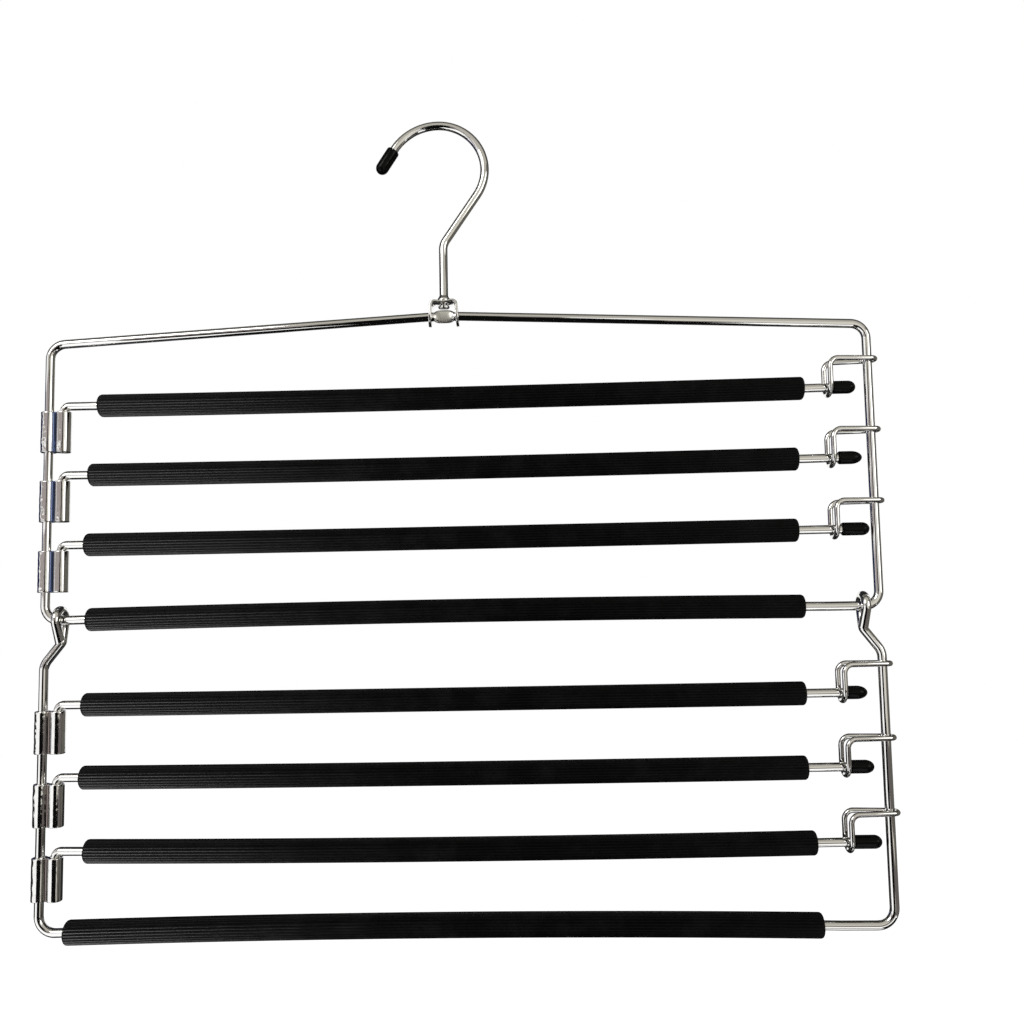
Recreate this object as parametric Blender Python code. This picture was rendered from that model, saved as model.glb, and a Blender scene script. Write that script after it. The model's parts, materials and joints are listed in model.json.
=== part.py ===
"""Multi-tier trouser hanger: chrome-plated wire frames, foam-covered swing bars and a swivel hook.

Metres, +Z up. The origin is the rail saddle, the inside top of the hook's bend. +X runs along the
bars from their pivots to their free ends, and -Y is the front. Tiers count from the top: 4 and 8 are
the bottom bars of the upper and lower frames, and the others are swing bars.
"""

import math

import bmesh
import bpy
from mathutils import Matrix, Vector

# Gap left between pieces that touch or run in each other
CLEARANCE = 0.0003

# Both frames
FRAME_WIDTH = 0.396
FRAME_WIRE = 0.0043
TIER_PITCH = 0.0339

# Upper frame
TOP_RISE = 0.009
TOP_CORNER_RADIUS = 0.0075
FIRST_TIER_DROP = 0.0396
FOURTH_TIER_DROP = 0.0361
UPPER_BOTTOM_RADIUS = 0.007
FLAT_LENGTH = 0.0096
FLAT_HEIGHT = 0.0062
FLAT_THICKNESS = 0.0024
FLAT_FULLNESS = 3

# Lower frame
EYE_MARGIN = 0.0005
EYE_CLEARANCE = 0.00045
EYE_NECK_DROP = 0.0104
EYE_STRAND_CROSS = 0.0013
NECK_BEND_RADIUS = 0.004
SHOULDER_DROP = 0.0211
SHOULDER_RADIUS = 0.008
SHOULDER_TO_KEEPER = 0.00195
EIGHTH_TIER_DROP = 0.0372
LOWER_BOTTOM_RADIUS = 0.008

# Hook
HOOK_WIRE = 0.0042
HOOK_RADIUS = 0.0229
NOSE_RADIUS = 0.026
NOSE_TURN = math.radians(57)
HOOK_TURN_END = math.radians(-34.5)
HOOK_ELBOW_RADIUS = 0.008
HOOK_HEIGHT = 0.0943
SHANK_OFFSET = 0.002
HOOK_TO_FRAME_CENTRE = 0.0063
COLLAR_DIAMETER = 0.0062
COLLAR_TOP_DIAMETER = 0.0048
COLLAR_HEIGHT = 0.0032
NECK_DIAMETER = 0.0034
FOOT_DIAMETER = 0.0056
FOOT_FACE_DIAMETER = 0.0045
FOOT_HEIGHT = 0.0016
FORGED_EDGE = 0.0003

# Yoke
YOKE_WIDTH = 0.0136
YOKE_FLARE = 0.0006
YOKE_DEPTH = 0.010
YOKE_HEIGHT = 0.0069
YOKE_SHEET = 0.0013
YOKE_BEND_RADIUS = 0.002
YOKE_TIP_ANGLE = math.radians(76)

# Swing bars and their pivot clips
ROD_WIRE = 0.0041
ROD_BEND_RADIUS = 0.003
CLIP_HEIGHT = 0.020
CLIP_SHEET = 0.0012
CLIP_GROOVE_RADIUS = 0.0006
ROD_TO_CLIP = 0.00065
LEG_END_INSET = 0.001

# Keepers
KEEPER_WIRE = 0.0025
KEEPER_INSET = 0.0192
KEEPER_SPREAD = 0.011
KEEPER_RISE = 0.0132
KEEPER_BEND_RADIUS = 0.004

# Foam sleeves
SLEEVE_DIAMETER = 0.0111
SLEEVE_LEFT_MARGIN = 0.021
SLEEVE_RIGHT_MARGIN = 0.035
SLEEVE_SHIFT = {1: 0.004, 2: 0.0, 3: -0.0015, 4: 0.0, 5: -0.0013, 6: -0.0018, 7: 0.0008, 8: 0.0}
BOTTOM_SLEEVE_DIAMETER = 0.0114
BOTTOM_SLEEVE_LEFT_MARGIN = 0.0131
BOTTOM_SLEEVE_RIGHT_MARGIN = 0.0328
FLUTES = 24
FLUTE_DEPTH = 0.0005
SLEEVE_EDGE = 0.0008

# Vinyl caps
CAP_WALL = 0.00075
CAP_END_WALL = 0.0015
CAP_LIP = 0.0003
BAR_CAP_LENGTH = {1: 0.0114, 2: 0.0114, 3: 0.0132, 5: 0.0101, 6: 0.0116, 7: 0.0135}
BAR_CAP_SEAT = {1: 0.0, 2: 0.0015, 3: 0.0016, 5: 0.0, 6: 0.0, 7: 0.0}
BAR_CAP_NOSE = 0.005
HOOK_CAP_LENGTH = 0.0138
HOOK_CAP_NOSE = 0.0034

# Facets
BEND_STEP = math.radians(22.5)
TURNED_STEPS = 14
WIRE_BEVEL_STEPS = 3
KEEPER_BEVEL_STEPS = 2
FLAT_STEPS = 6
TAB_STEPS = 4
CAP_NOSE_STEPS = 4
SHARP_ANGLE = math.radians(40)
FLUTE_SHARP_ANGLE = math.radians(60)
MERGE_DISTANCE = 0.00001

# Drawn size of the joint markers
MARKER_SIZE = 0.02

SWING_TIERS = (1, 2, 3, 5, 6, 7)
UPPER_TIERS = (1, 2, 3, 4)

# Frame layout, worked out from the sizes above
LEFT = HOOK_TO_FRAME_CENTRE - FRAME_WIDTH / 2
RIGHT = HOOK_TO_FRAME_CENTRE + FRAME_WIDTH / 2
PEAK_Z = -HOOK_HEIGHT
EYE_INSET = UPPER_BOTTOM_RADIUS + EYE_MARGIN
SHOULDER_TURN = math.atan2(EYE_INSET, SHOULDER_DROP - EYE_NECK_DROP)
SHOULDER_END_DROP = SHOULDER_DROP + SHOULDER_RADIUS * math.tan(SHOULDER_TURN / 2)
FIFTH_TIER_DROP = SHOULDER_END_DROP + SHOULDER_TO_KEEPER + KEEPER_WIRE / 2 + KEEPER_RISE

# Swing bar layout along X, measured from the side wires
WIRE_BARREL = FRAME_WIRE / 2 + CLEARANCE + CLIP_SHEET
LEG_BARREL = ROD_WIRE / 2 + CLEARANCE + CLIP_SHEET
PIVOT_X = LEFT + WIRE_BARREL + LEG_BARREL
KEEPER_LEG_X = RIGHT - KEEPER_INSET
CAP_MOUTH_X = KEEPER_LEG_X + KEEPER_WIRE / 2 + CLEARANCE
CLIP_TOP_DROP = ROD_WIRE / 2 + ROD_TO_CLIP


def tier_heights():
    """Height of every bar's axis, by tier."""
    heights = {}
    first = PEAK_Z - FIRST_TIER_DROP
    for step in range(3):
        heights[1 + step] = first - step * TIER_PITCH
    heights[4] = heights[3] - FOURTH_TIER_DROP
    fifth = heights[4] - FIFTH_TIER_DROP
    for step in range(3):
        heights[5 + step] = fifth - step * TIER_PITCH
    heights[8] = heights[7] - EIGHTH_TIER_DROP
    return heights


TIER_Z = tier_heights()


def clear_scene():
    for item in list(bpy.data.objects):
        bpy.data.objects.remove(item, do_unlink=True)


def make_material(name, colour, roughness, metallic):
    material = bpy.data.materials.new(name)
    material.use_nodes = True
    shader = material.node_tree.nodes["Principled BSDF"]
    shader.inputs["Base Color"].default_value = (*colour, 1.0)
    shader.inputs["Roughness"].default_value = roughness
    shader.inputs["Metallic"].default_value = metallic
    return material


def add_object(name, data, material, parent):
    """Add a piece whose geometry is already written from its body's origin."""
    item = bpy.data.objects.new(name, data)
    bpy.context.collection.objects.link(item)
    item.parent = parent
    if not data.materials:
        data.materials.append(material)
    return item


def add_body(name, location):
    """An empty on a body's joint axis, which its pieces are parented to."""
    body = bpy.data.objects.new(name, None)
    body.location = location
    body.empty_display_size = MARKER_SIZE
    bpy.context.collection.objects.link(body)
    return body


def bend_path(corners, closed=False):
    """Points along a bent wire. A corner is (x, y, z, bend radius), where 0 leaves it sharp."""
    places = [Vector(corner[:3]) for corner in corners]
    count = len(places)
    points = []
    for index, corner in enumerate(corners):
        radius = corner[3]
        inner = closed or 0 < index < count - 1
        if radius <= 0 or not inner:
            points.append(places[index])
            continue
        arriving = (places[index] - places[index - 1]).normalized()
        leaving = (places[(index + 1) % count] - places[index]).normalized()
        turn = arriving.angle(leaving)
        axis = arriving.cross(leaving).normalized()
        start = places[index] - arriving * radius * math.tan(turn / 2)
        centre = start + axis.cross(arriving) * radius
        steps = max(2, math.ceil(turn / BEND_STEP))
        for step in range(steps + 1):
            points.append(centre + Matrix.Rotation(turn * step / steps, 3, axis) @ (start - centre))
    return drop_repeats(points, closed)


def drop_repeats(points, closed):
    """Leave out points that fall on the one before, as where two quarter bends meet."""
    kept = [points[0]]
    for point in points[1:]:
        if (point - kept[-1]).length > MERGE_DISTANCE:
            kept.append(point)
    if closed and (kept[0] - kept[-1]).length < MERGE_DISTANCE:
        kept.pop()
    return kept


def wire_curve(name, points, diameter, closed=False, bevel_steps=WIRE_BEVEL_STEPS, widths=None):
    """A round wire along points. widths gives each point's own diameter where it varies."""
    curve = bpy.data.curves.new(name, "CURVE")
    curve.dimensions = "3D"
    curve.bevel_depth = diameter / 2
    curve.bevel_resolution = bevel_steps
    curve.use_fill_caps = True
    spline = curve.splines.new("POLY")
    spline.points.add(len(points) - 1)
    for index, point in enumerate(points):
        spline.points[index].co = (*point, 1.0)
        if widths:
            spline.points[index].radius = widths[index] / diameter
    spline.use_cyclic_u = closed
    spline.use_smooth = True
    return curve


def finish_mesh(name, shape, sharp_angle=SHARP_ANGLE):
    """Turn a bmesh into a mesh with outward faces, smooth between its sharp edges."""
    bmesh.ops.remove_doubles(shape, verts=shape.verts, dist=MERGE_DISTANCE)
    bmesh.ops.recalc_face_normals(shape, faces=shape.faces)
    mesh = bpy.data.meshes.new(name)
    shape.to_mesh(mesh)
    shape.free()
    mesh.shade_smooth()
    mesh.set_sharp_from_angle(angle=sharp_angle)
    return mesh


def turned_mesh(name, profile, axis=Vector((1, 0, 0))):
    """A solid turned about an axis through its origin. profile holds (distance along, radius)."""
    turn = Vector((1, 0, 0)).rotation_difference(axis).to_matrix()
    shape = bmesh.new()
    loop = [shape.verts.new(turn @ Vector((along, 0, radius))) for along, radius in profile]
    edges = [shape.edges.new(pair) for pair in zip(loop, loop[1:])]
    bmesh.ops.spin(shape, geom=loop + edges, axis=axis, cent=(0, 0, 0), angle=2 * math.pi,
                   steps=TURNED_STEPS, use_merge=True)
    return finish_mesh(name, shape)


def loft_mesh(name, rings):
    """A closed solid through rings that have the same number of points."""
    shape = bmesh.new()
    loops = [[shape.verts.new(point) for point in ring] for ring in rings]
    size = len(loops[0])
    for near, far in zip(loops, loops[1:]):
        for side in range(size):
            after = (side + 1) % size
            shape.faces.new((near[side], near[after], far[after], far[side]))
    shape.faces.new(loops[0])
    shape.faces.new(loops[-1])
    return finish_mesh(name, shape)


def add_cutter(name, mesh, parent):
    cutter = bpy.data.objects.new(name, mesh)
    bpy.context.collection.objects.link(cutter)
    cutter.parent = parent
    cutter.hide_render = True
    cutter.display_type = "WIRE"
    return cutter


def cut(item, cutter):
    modifier = item.modifiers.new(cutter.name, "BOOLEAN")
    modifier.operation = "DIFFERENCE"
    modifier.object = cutter


def rod_mesh(name, radius, start, end, axis):
    """A plain cylinder from start to end along an axis, for cutting holes."""
    return turned_mesh(name, [(start, 0), (start, radius), (end, radius), (end, 0)], axis)


# Hook

def hook_bend_points():
    """Shank, elbow, main bend and nose of the hook, from the collar up to the tip inside its cap."""
    centre = Vector((0, 0, -HOOK_RADIUS + HOOK_WIRE / 2))
    nose_centre = Vector((0, 0, -NOSE_RADIUS + HOOK_WIRE / 2))
    main_turn = math.pi / 2 - HOOK_TURN_END
    main_steps = math.ceil(main_turn / BEND_STEP)
    bend_start = centre + HOOK_RADIUS * Vector((math.cos(HOOK_TURN_END), 0, math.sin(HOOK_TURN_END)))
    slope = Vector((math.sin(HOOK_TURN_END), 0, -math.cos(HOOK_TURN_END)))
    elbow = bend_start + slope * ((SHANK_OFFSET - bend_start.x) / slope.x)
    shank_top = (SHANK_OFFSET, 0, collar_top(), 0)
    points = bend_path([shank_top, (*elbow, HOOK_ELBOW_RADIUS), (*bend_start, 0)])
    for step in range(1, main_steps + 1):
        angle = HOOK_TURN_END + main_turn * step / main_steps
        points.append(centre + HOOK_RADIUS * Vector((math.cos(angle), 0, math.sin(angle))))
    nose_steps = math.ceil(NOSE_TURN / BEND_STEP)
    for step in range(1, nose_steps + 1):
        angle = math.pi / 2 + NOSE_TURN * step / nose_steps
        points.append(nose_centre + NOSE_RADIUS * Vector((math.cos(angle), 0, math.sin(angle))))
    points.append(points[-1] + nose_direction() * (HOOK_CAP_LENGTH - CAP_END_WALL - CLEARANCE))
    return points


def nose_direction():
    angle = math.pi + NOSE_TURN
    return Vector((math.cos(angle), 0, math.sin(angle)))


def nose_end():
    """Where the nose runs straight and its cap starts."""
    angle = math.pi / 2 + NOSE_TURN
    drop = HOOK_WIRE / 2 - NOSE_RADIUS
    return Vector((NOSE_RADIUS * math.cos(angle), 0, drop + NOSE_RADIUS * math.sin(angle)))


def plate_top():
    return PEAK_Z + YOKE_HEIGHT


def collar_top():
    return plate_top() + CLEARANCE + COLLAR_HEIGHT


def foot_points():
    """Riveted foot under the yoke plate, neck through it and upset collar above: (height, width)."""
    collar_bottom = plate_top() + CLEARANCE
    foot_top = plate_top() - YOKE_SHEET - CLEARANCE
    return [
        (foot_top - FOOT_HEIGHT, FOOT_FACE_DIAMETER),
        (foot_top - FOOT_HEIGHT + FORGED_EDGE, FOOT_DIAMETER),
        (foot_top - FORGED_EDGE, FOOT_DIAMETER),
        (foot_top, NECK_DIAMETER),
        (collar_bottom, NECK_DIAMETER),
        (collar_bottom + FORGED_EDGE, COLLAR_DIAMETER),
        (collar_bottom + COLLAR_HEIGHT - 4 * FORGED_EDGE, COLLAR_DIAMETER),
        (collar_bottom + COLLAR_HEIGHT - FORGED_EDGE, COLLAR_TOP_DIAMETER),
    ]


def add_hook(body, chrome, vinyl):
    bend = hook_bend_points()
    foot = foot_points()
    points = [Vector((SHANK_OFFSET, 0, height)) for height, width in foot] + bend
    widths = [width for height, width in foot] + [HOOK_WIRE] * len(bend)
    add_object("hook", wire_curve("hook", points, HOOK_WIRE, widths=widths), chrome, body)
    mesh = cap_mesh("hook_tip_cap", HOOK_WIRE, HOOK_CAP_LENGTH, HOOK_CAP_NOSE)
    mesh.transform(Vector((1, 0, 0)).rotation_difference(nose_direction()).to_matrix().to_4x4())
    cap = add_object("hook_tip_cap", mesh, vinyl, body)
    cap.location = nose_end()


def cap_mesh(name, wire, length, nose):
    """A dipped cap along +X from its open mouth, bored for the wire that it covers."""
    bore = wire / 2 + CLEARANCE
    radius = bore + CAP_WALL
    profile = [(length - CAP_END_WALL, 0), (length - CAP_END_WALL, bore), (0, bore)]
    profile += [(0, radius - CAP_LIP), (CAP_LIP, radius)]
    for step in range(CAP_NOSE_STEPS + 1):
        angle = math.pi / 2 * step / CAP_NOSE_STEPS
        profile.append((length - nose + nose * math.sin(angle), radius * math.cos(angle)))
    return turned_mesh(name, profile)


# Yoke

def yoke_rings():
    """Sections of the folded strip from one leg's rounded end over the plate to the other's."""
    tab = YOKE_DEPTH / 2
    half = (YOKE_WIDTH - YOKE_SHEET) / 2
    top = YOKE_HEIGHT - YOKE_SHEET / 2
    tip_angles = [YOKE_TIP_ANGLE * (1 - step / TAB_STEPS) for step in range(TAB_STEPS + 1)]
    flare = YOKE_FLARE / (top + tab)
    leg = [(half + flare * (top + tab * math.sin(a)), 0, -tab * math.sin(a), 0) for a in tip_angles]
    corner = (half, 0, top, YOKE_BEND_RADIUS)
    right = leg + [corner]
    left = [(-x, y, z, radius) for x, y, z, radius in reversed(right)]
    path = bend_path(right + left)
    rings = []
    for index, point in enumerate(path):
        before = path[max(index - 1, 0)]
        after = path[min(index + 1, len(path) - 1)]
        along = (after - before).normalized()
        outward = Vector((along.z, 0, -along.x)) * YOKE_SHEET / 2
        depth = math.sqrt(tab * tab - min(point.z, 0) ** 2)
        side = Vector((0, depth, 0))
        rings.append([point + outward - side, point + outward + side,
                      point - outward + side, point - outward - side])
    return rings


def add_yoke(body, chrome):
    yoke = add_object("yoke", loft_mesh("yoke", yoke_rings()), chrome, body)
    reach = YOKE_WIDTH
    wire_hole = rod_mesh("wire_hole", FRAME_WIRE / 2 + CLEARANCE, -reach, reach, Vector((1, 0, 0)))
    shank_hole = rod_mesh("shank_hole", NECK_DIAMETER / 2 + CLEARANCE, 0, 2 * YOKE_HEIGHT,
                          Vector((0, 0, 1)))
    cut(yoke, add_cutter("wire_hole_cutter", wire_hole, body))
    cut(yoke, add_cutter("shank_hole_cutter", shank_hole, body))


# Frames

def press_flat(mesh):
    """Press the top wire into a leaf between the yoke's legs, so that it can't slide through them."""
    half = FLAT_LENGTH / 2
    for vertex in mesh.vertices:
        reach = abs(vertex.co.x) / half
        if reach >= 1 or abs(vertex.co.z) > FRAME_WIRE:
            continue
        amount = 1 - reach ** FLAT_FULLNESS
        vertex.co.y *= 1 + (FLAT_THICKNESS / FRAME_WIRE - 1) * amount
        vertex.co.z *= 1 + (FLAT_HEIGHT / FRAME_WIRE - 1) * amount


def add_upper_frame(body, chrome):
    left = LEFT - SHANK_OFFSET
    right = RIGHT - SHANK_OFFSET
    bottom = TIER_Z[4] - PEAK_Z
    level = YOKE_WIDTH / 2 + YOKE_FLARE + CLEARANCE
    flat = [FLAT_LENGTH * (step / FLAT_STEPS - 0.5) for step in range(FLAT_STEPS + 1)]
    corners = [(left, 0, -TOP_RISE, TOP_CORNER_RADIUS)]
    corners += [(x, 0, 0, 0) for x in (-level, *flat, level)]
    corners += [(right, 0, -TOP_RISE, TOP_CORNER_RADIUS)]
    corners += [(right, 0, bottom, UPPER_BOTTOM_RADIUS), (left, 0, bottom, UPPER_BOTTOM_RADIUS)]
    path = bend_path(corners, closed=True)
    frame = add_object("upper_frame", wire_curve("upper_frame", path, FRAME_WIRE, closed=True), chrome, body)
    mesh = bpy.data.meshes.new_from_object(frame.evaluated_get(bpy.context.evaluated_depsgraph_get()))
    press_flat(mesh)
    curve = frame.data
    bpy.data.objects.remove(frame)
    bpy.data.curves.remove(curve)
    add_object("upper_frame", mesh, chrome, body)


def eye_corners(side):
    """One end of the lower wire: over the fourth bar, down the back to the neck, out to the side."""
    ring = FRAME_WIRE + EYE_CLEARANCE
    neck = FRAME_WIRE / 2 + CLEARANCE / 2
    eye_x = side * (FRAME_WIDTH / 2 - EYE_INSET)
    return [
        (eye_x - side * EYE_STRAND_CROSS, -neck, -EYE_NECK_DROP, 0),
        (eye_x, -ring, 0, 0),
        (eye_x, -ring, ring, ring),
        (eye_x, ring, ring, ring),
        (eye_x, ring, 0, 0),
        (eye_x, neck, -EYE_NECK_DROP, NECK_BEND_RADIUS),
        (side * FRAME_WIDTH / 2, 0, -SHOULDER_DROP, SHOULDER_RADIUS),
    ]


def add_lower_frame(body, chrome):
    bottom = TIER_Z[8] - TIER_Z[4]
    half = FRAME_WIDTH / 2
    corners = eye_corners(-1)
    corners += [(-half, 0, bottom, LOWER_BOTTOM_RADIUS), (half, 0, bottom, LOWER_BOTTOM_RADIUS)]
    corners += reversed(eye_corners(1))
    add_object("lower_frame", wire_curve("lower_frame", bend_path(corners), FRAME_WIRE), chrome, body)


# Pivot clips and keepers

def clip_outline():
    """Round the wire barrel and the leg barrel, with a groove between them front and back."""
    spacing = WIRE_BARREL + LEG_BARREL
    near = WIRE_BARREL + CLIP_GROOVE_RADIUS
    far = LEG_BARREL + CLIP_GROOVE_RADIUS
    groove_x = (spacing * spacing + near * near - far * far) / (2 * spacing)
    groove_y = math.sqrt(near * near - groove_x * groove_x)
    wire_end = math.atan2(groove_y, groove_x)
    leg_end = math.pi - math.atan2(groove_y, spacing - groove_x)
    outline = arc((0, 0), WIRE_BARREL, wire_end, 2 * math.pi - wire_end)
    outline += arc((groove_x, -groove_y), CLIP_GROOVE_RADIUS, math.pi - wire_end, math.pi - leg_end)
    outline += arc((spacing, 0), LEG_BARREL, -leg_end, leg_end)
    outline += arc((groove_x, groove_y), CLIP_GROOVE_RADIUS, leg_end - math.pi, wire_end - math.pi)
    return outline


def arc(centre, radius, start, end):
    """Points of an arc without its last one, which the next stretch begins with."""
    steps = max(3, math.ceil(abs(end - start) / BEND_STEP))
    angles = [start + (end - start) * step / steps for step in range(steps)]
    return [(centre[0] + radius * math.cos(a), centre[1] + radius * math.sin(a)) for a in angles]


def clip_mesh():
    """A double barrel, standing on its lower end with the wire barrel on its origin."""
    shape = bmesh.new()
    wire_bore = arc((0, 0), FRAME_WIRE / 2 + CLEARANCE, 0, 2 * math.pi)
    leg_bore = arc((WIRE_BARREL + LEG_BARREL, 0), ROD_WIRE / 2 + CLEARANCE, 0, 2 * math.pi)
    edges = []
    for outline in (clip_outline(), wire_bore, leg_bore):
        loop = [shape.verts.new((x, y, 0)) for x, y in outline]
        edges += [shape.edges.new((loop[i - 1], loop[i])) for i in range(len(loop))]
    bmesh.ops.triangle_fill(shape, edges=edges, use_beauty=True)
    raised = bmesh.ops.extrude_face_region(shape, geom=shape.faces[:])["geom"]
    verts = [item for item in raised if isinstance(item, bmesh.types.BMVert)]
    bmesh.ops.translate(shape, verts=verts, vec=(0, 0, CLIP_HEIGHT))
    return finish_mesh("pivot_clip", shape)


def keeper_path():
    """Closed loop from under the bar, up, out round the side wire and back. Origin on the bar axis."""
    reach = KEEPER_INSET
    half = KEEPER_SPREAD / 2
    wrap = FRAME_WIRE / 2 + CLEARANCE + KEEPER_WIRE / 2
    seat = -(ROD_WIRE / 2 + CLEARANCE + KEEPER_WIRE / 2)
    inward = math.acos(wrap / math.hypot(half, reach)) - math.atan2(reach, half)
    wrap_end = math.pi / 2 - inward
    wrap_steps = math.ceil(2 * wrap_end / BEND_STEP)
    corners = [(0, half, seat, half), (0, -half, seat, half)]
    corners += [(0, -half, KEEPER_RISE, KEEPER_BEND_RADIUS)]
    for step in range(wrap_steps + 1):
        angle = wrap_end * (2 * step / wrap_steps - 1)
        corners.append((reach + wrap * math.cos(angle), wrap * math.sin(angle), KEEPER_RISE, 0))
    corners += [(0, half, KEEPER_RISE, KEEPER_BEND_RADIUS)]
    return bend_path(corners, closed=True)


def add_tier_hardware(tier, body, frame_origin, clip, keeper, chrome):
    """The pivot clip and the keeper that one swing bar works in."""
    height = TIER_Z[tier]
    holder = add_object(f"pivot_clip_{tier}", clip, chrome, body)
    holder.location = Vector((LEFT, 0, height - CLIP_TOP_DROP - CLIP_HEIGHT)) - frame_origin
    loop = add_object(f"keeper_{tier}", keeper, chrome, body)
    loop.location = Vector((KEEPER_LEG_X, 0, height)) - frame_origin


# Bars and sleeves

def fluted_sleeve_mesh(name, diameter, wire, length):
    """A foam tube along +X with lengthwise flutes, eased ends and a bore for its wire."""
    bore = wire / 2 + CLEARANCE
    shape = bmesh.new()
    sections = ((0, SLEEVE_EDGE), (SLEEVE_EDGE, 0), (length - SLEEVE_EDGE, 0), (length, SLEEVE_EDGE))
    outer = []
    for along, eased in sections:
        ring = []
        for index in range(2 * FLUTES):
            angle = math.pi * index / FLUTES
            radius = diameter / 2 - eased - FLUTE_DEPTH * (index % 2)
            ring.append(shape.verts.new((along, radius * math.cos(angle), radius * math.sin(angle))))
        outer.append(ring)
    inner = []
    for along in (0, length):
        angles = [2 * math.pi * index / FLUTES for index in range(FLUTES)]
        inner.append([shape.verts.new((along, bore * math.cos(a), bore * math.sin(a))) for a in angles])
    for near, far in list(zip(outer, outer[1:])) + [inner]:
        for index in range(len(near)):
            shape.faces.new((near[index - 1], near[index], far[index], far[index - 1]))
    for ring, hole in ((outer[0], inner[0]), (outer[-1], inner[1])):
        for index in range(FLUTES):
            after = (index + 1) % FLUTES
            shape.faces.new((ring[2 * index], ring[2 * index + 1], hole[index]))
            shape.faces.new((ring[2 * index + 1], ring[2 * after], hole[after], hole[index]))
    return finish_mesh(name, shape, FLUTE_SHARP_ANGLE)


def add_fixed_sleeve(tier, body, frame_origin, foam):
    """The sleeve on the bottom bar of a frame."""
    margins = {4: (SLEEVE_LEFT_MARGIN, SLEEVE_RIGHT_MARGIN, SLEEVE_DIAMETER),
               8: (BOTTOM_SLEEVE_LEFT_MARGIN, BOTTOM_SLEEVE_RIGHT_MARGIN, BOTTOM_SLEEVE_DIAMETER)}
    left, right, diameter = margins[tier]
    name = f"foam_sleeve_{tier}"
    mesh = fluted_sleeve_mesh(name, diameter, FRAME_WIRE, FRAME_WIDTH - left - right)
    sleeve = add_object(name, mesh, foam, body)
    sleeve.location = Vector((LEFT + left + SLEEVE_SHIFT[tier], 0, TIER_Z[tier])) - frame_origin


def add_swing_bar(tier, sleeve, chrome, foam, vinyl):
    """A rod with its sleeve and end cap, turning on the leg that stands in the pivot clip."""
    body = add_body(f"swing_bar_{tier}_pivot", (PIVOT_X, 0, TIER_Z[tier]))
    leg_end = -(CLIP_TOP_DROP + CLIP_HEIGHT - LEG_END_INSET)
    mouth = CAP_MOUTH_X + BAR_CAP_SEAT[tier] - PIVOT_X
    rod_end = mouth + BAR_CAP_LENGTH[tier] - CAP_END_WALL - CLEARANCE
    path = bend_path([(0, 0, leg_end, 0), (0, 0, 0, ROD_BEND_RADIUS), (rod_end, 0, 0, 0)])
    name = f"swing_bar_{tier}"
    add_object(name, wire_curve(name, path, ROD_WIRE), chrome, body)
    cover = add_object(f"foam_sleeve_{tier}", sleeve, foam, body)
    cover.location.x = LEFT + SLEEVE_LEFT_MARGIN + SLEEVE_SHIFT[tier] - PIVOT_X
    name = f"bar_end_cap_{tier}"
    end = add_object(name, cap_mesh(name, ROD_WIRE, BAR_CAP_LENGTH[tier], BAR_CAP_NOSE), vinyl, body)
    end.location.x = mouth


def add_swing_bars(chrome, foam, vinyl):
    length = FRAME_WIDTH - SLEEVE_LEFT_MARGIN - SLEEVE_RIGHT_MARGIN
    sleeve = fluted_sleeve_mesh("foam_sleeve", SLEEVE_DIAMETER, ROD_WIRE, length)
    for tier in SWING_TIERS:
        add_swing_bar(tier, sleeve, chrome, foam, vinyl)


def main():
    clear_scene()
    chrome = make_material("chrome_wire", (0.76, 0.75, 0.72), 0.12, 1.0)
    foam = make_material("black_foam", (0.012, 0.012, 0.013), 0.7, 0.0)
    vinyl = make_material("black_vinyl", (0.010, 0.010, 0.011), 0.28, 0.0)

    upper_origin = Vector((SHANK_OFFSET, 0, PEAK_Z))
    lower_origin = Vector((HOOK_TO_FRAME_CENTRE, 0, TIER_Z[4]))
    add_hook(add_body("hook_saddle", (0, 0, 0)), chrome, vinyl)
    add_yoke(add_body("yoke_swivel", upper_origin), chrome)
    upper = add_body("upper_frame_tilt", upper_origin)
    lower = add_body("lower_frame_fold", lower_origin)
    add_upper_frame(upper, chrome)
    add_lower_frame(lower, chrome)
    add_fixed_sleeve(4, upper, upper_origin, foam)
    add_fixed_sleeve(8, lower, lower_origin, foam)

    clip = clip_mesh()
    keeper = wire_curve("keeper", keeper_path(), KEEPER_WIRE, closed=True, bevel_steps=KEEPER_BEVEL_STEPS)
    for tier in SWING_TIERS:
        if tier in UPPER_TIERS:
            add_tier_hardware(tier, upper, upper_origin, clip, keeper, chrome)
        else:
            add_tier_hardware(tier, lower, lower_origin, clip, keeper, chrome)
    add_swing_bars(chrome, foam, vinyl)


main()
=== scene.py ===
"""Looks of the trouser hanger: plated wire, crimped clips, fluted foam, dipped caps and a white studio.

Metres, in the frame's own axes: +X runs along the bars to their free ends, -Y is the front, +Z is up.
"""

import json
import math

import bmesh
import bpy
from mathutils import Matrix, Vector, noise

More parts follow.
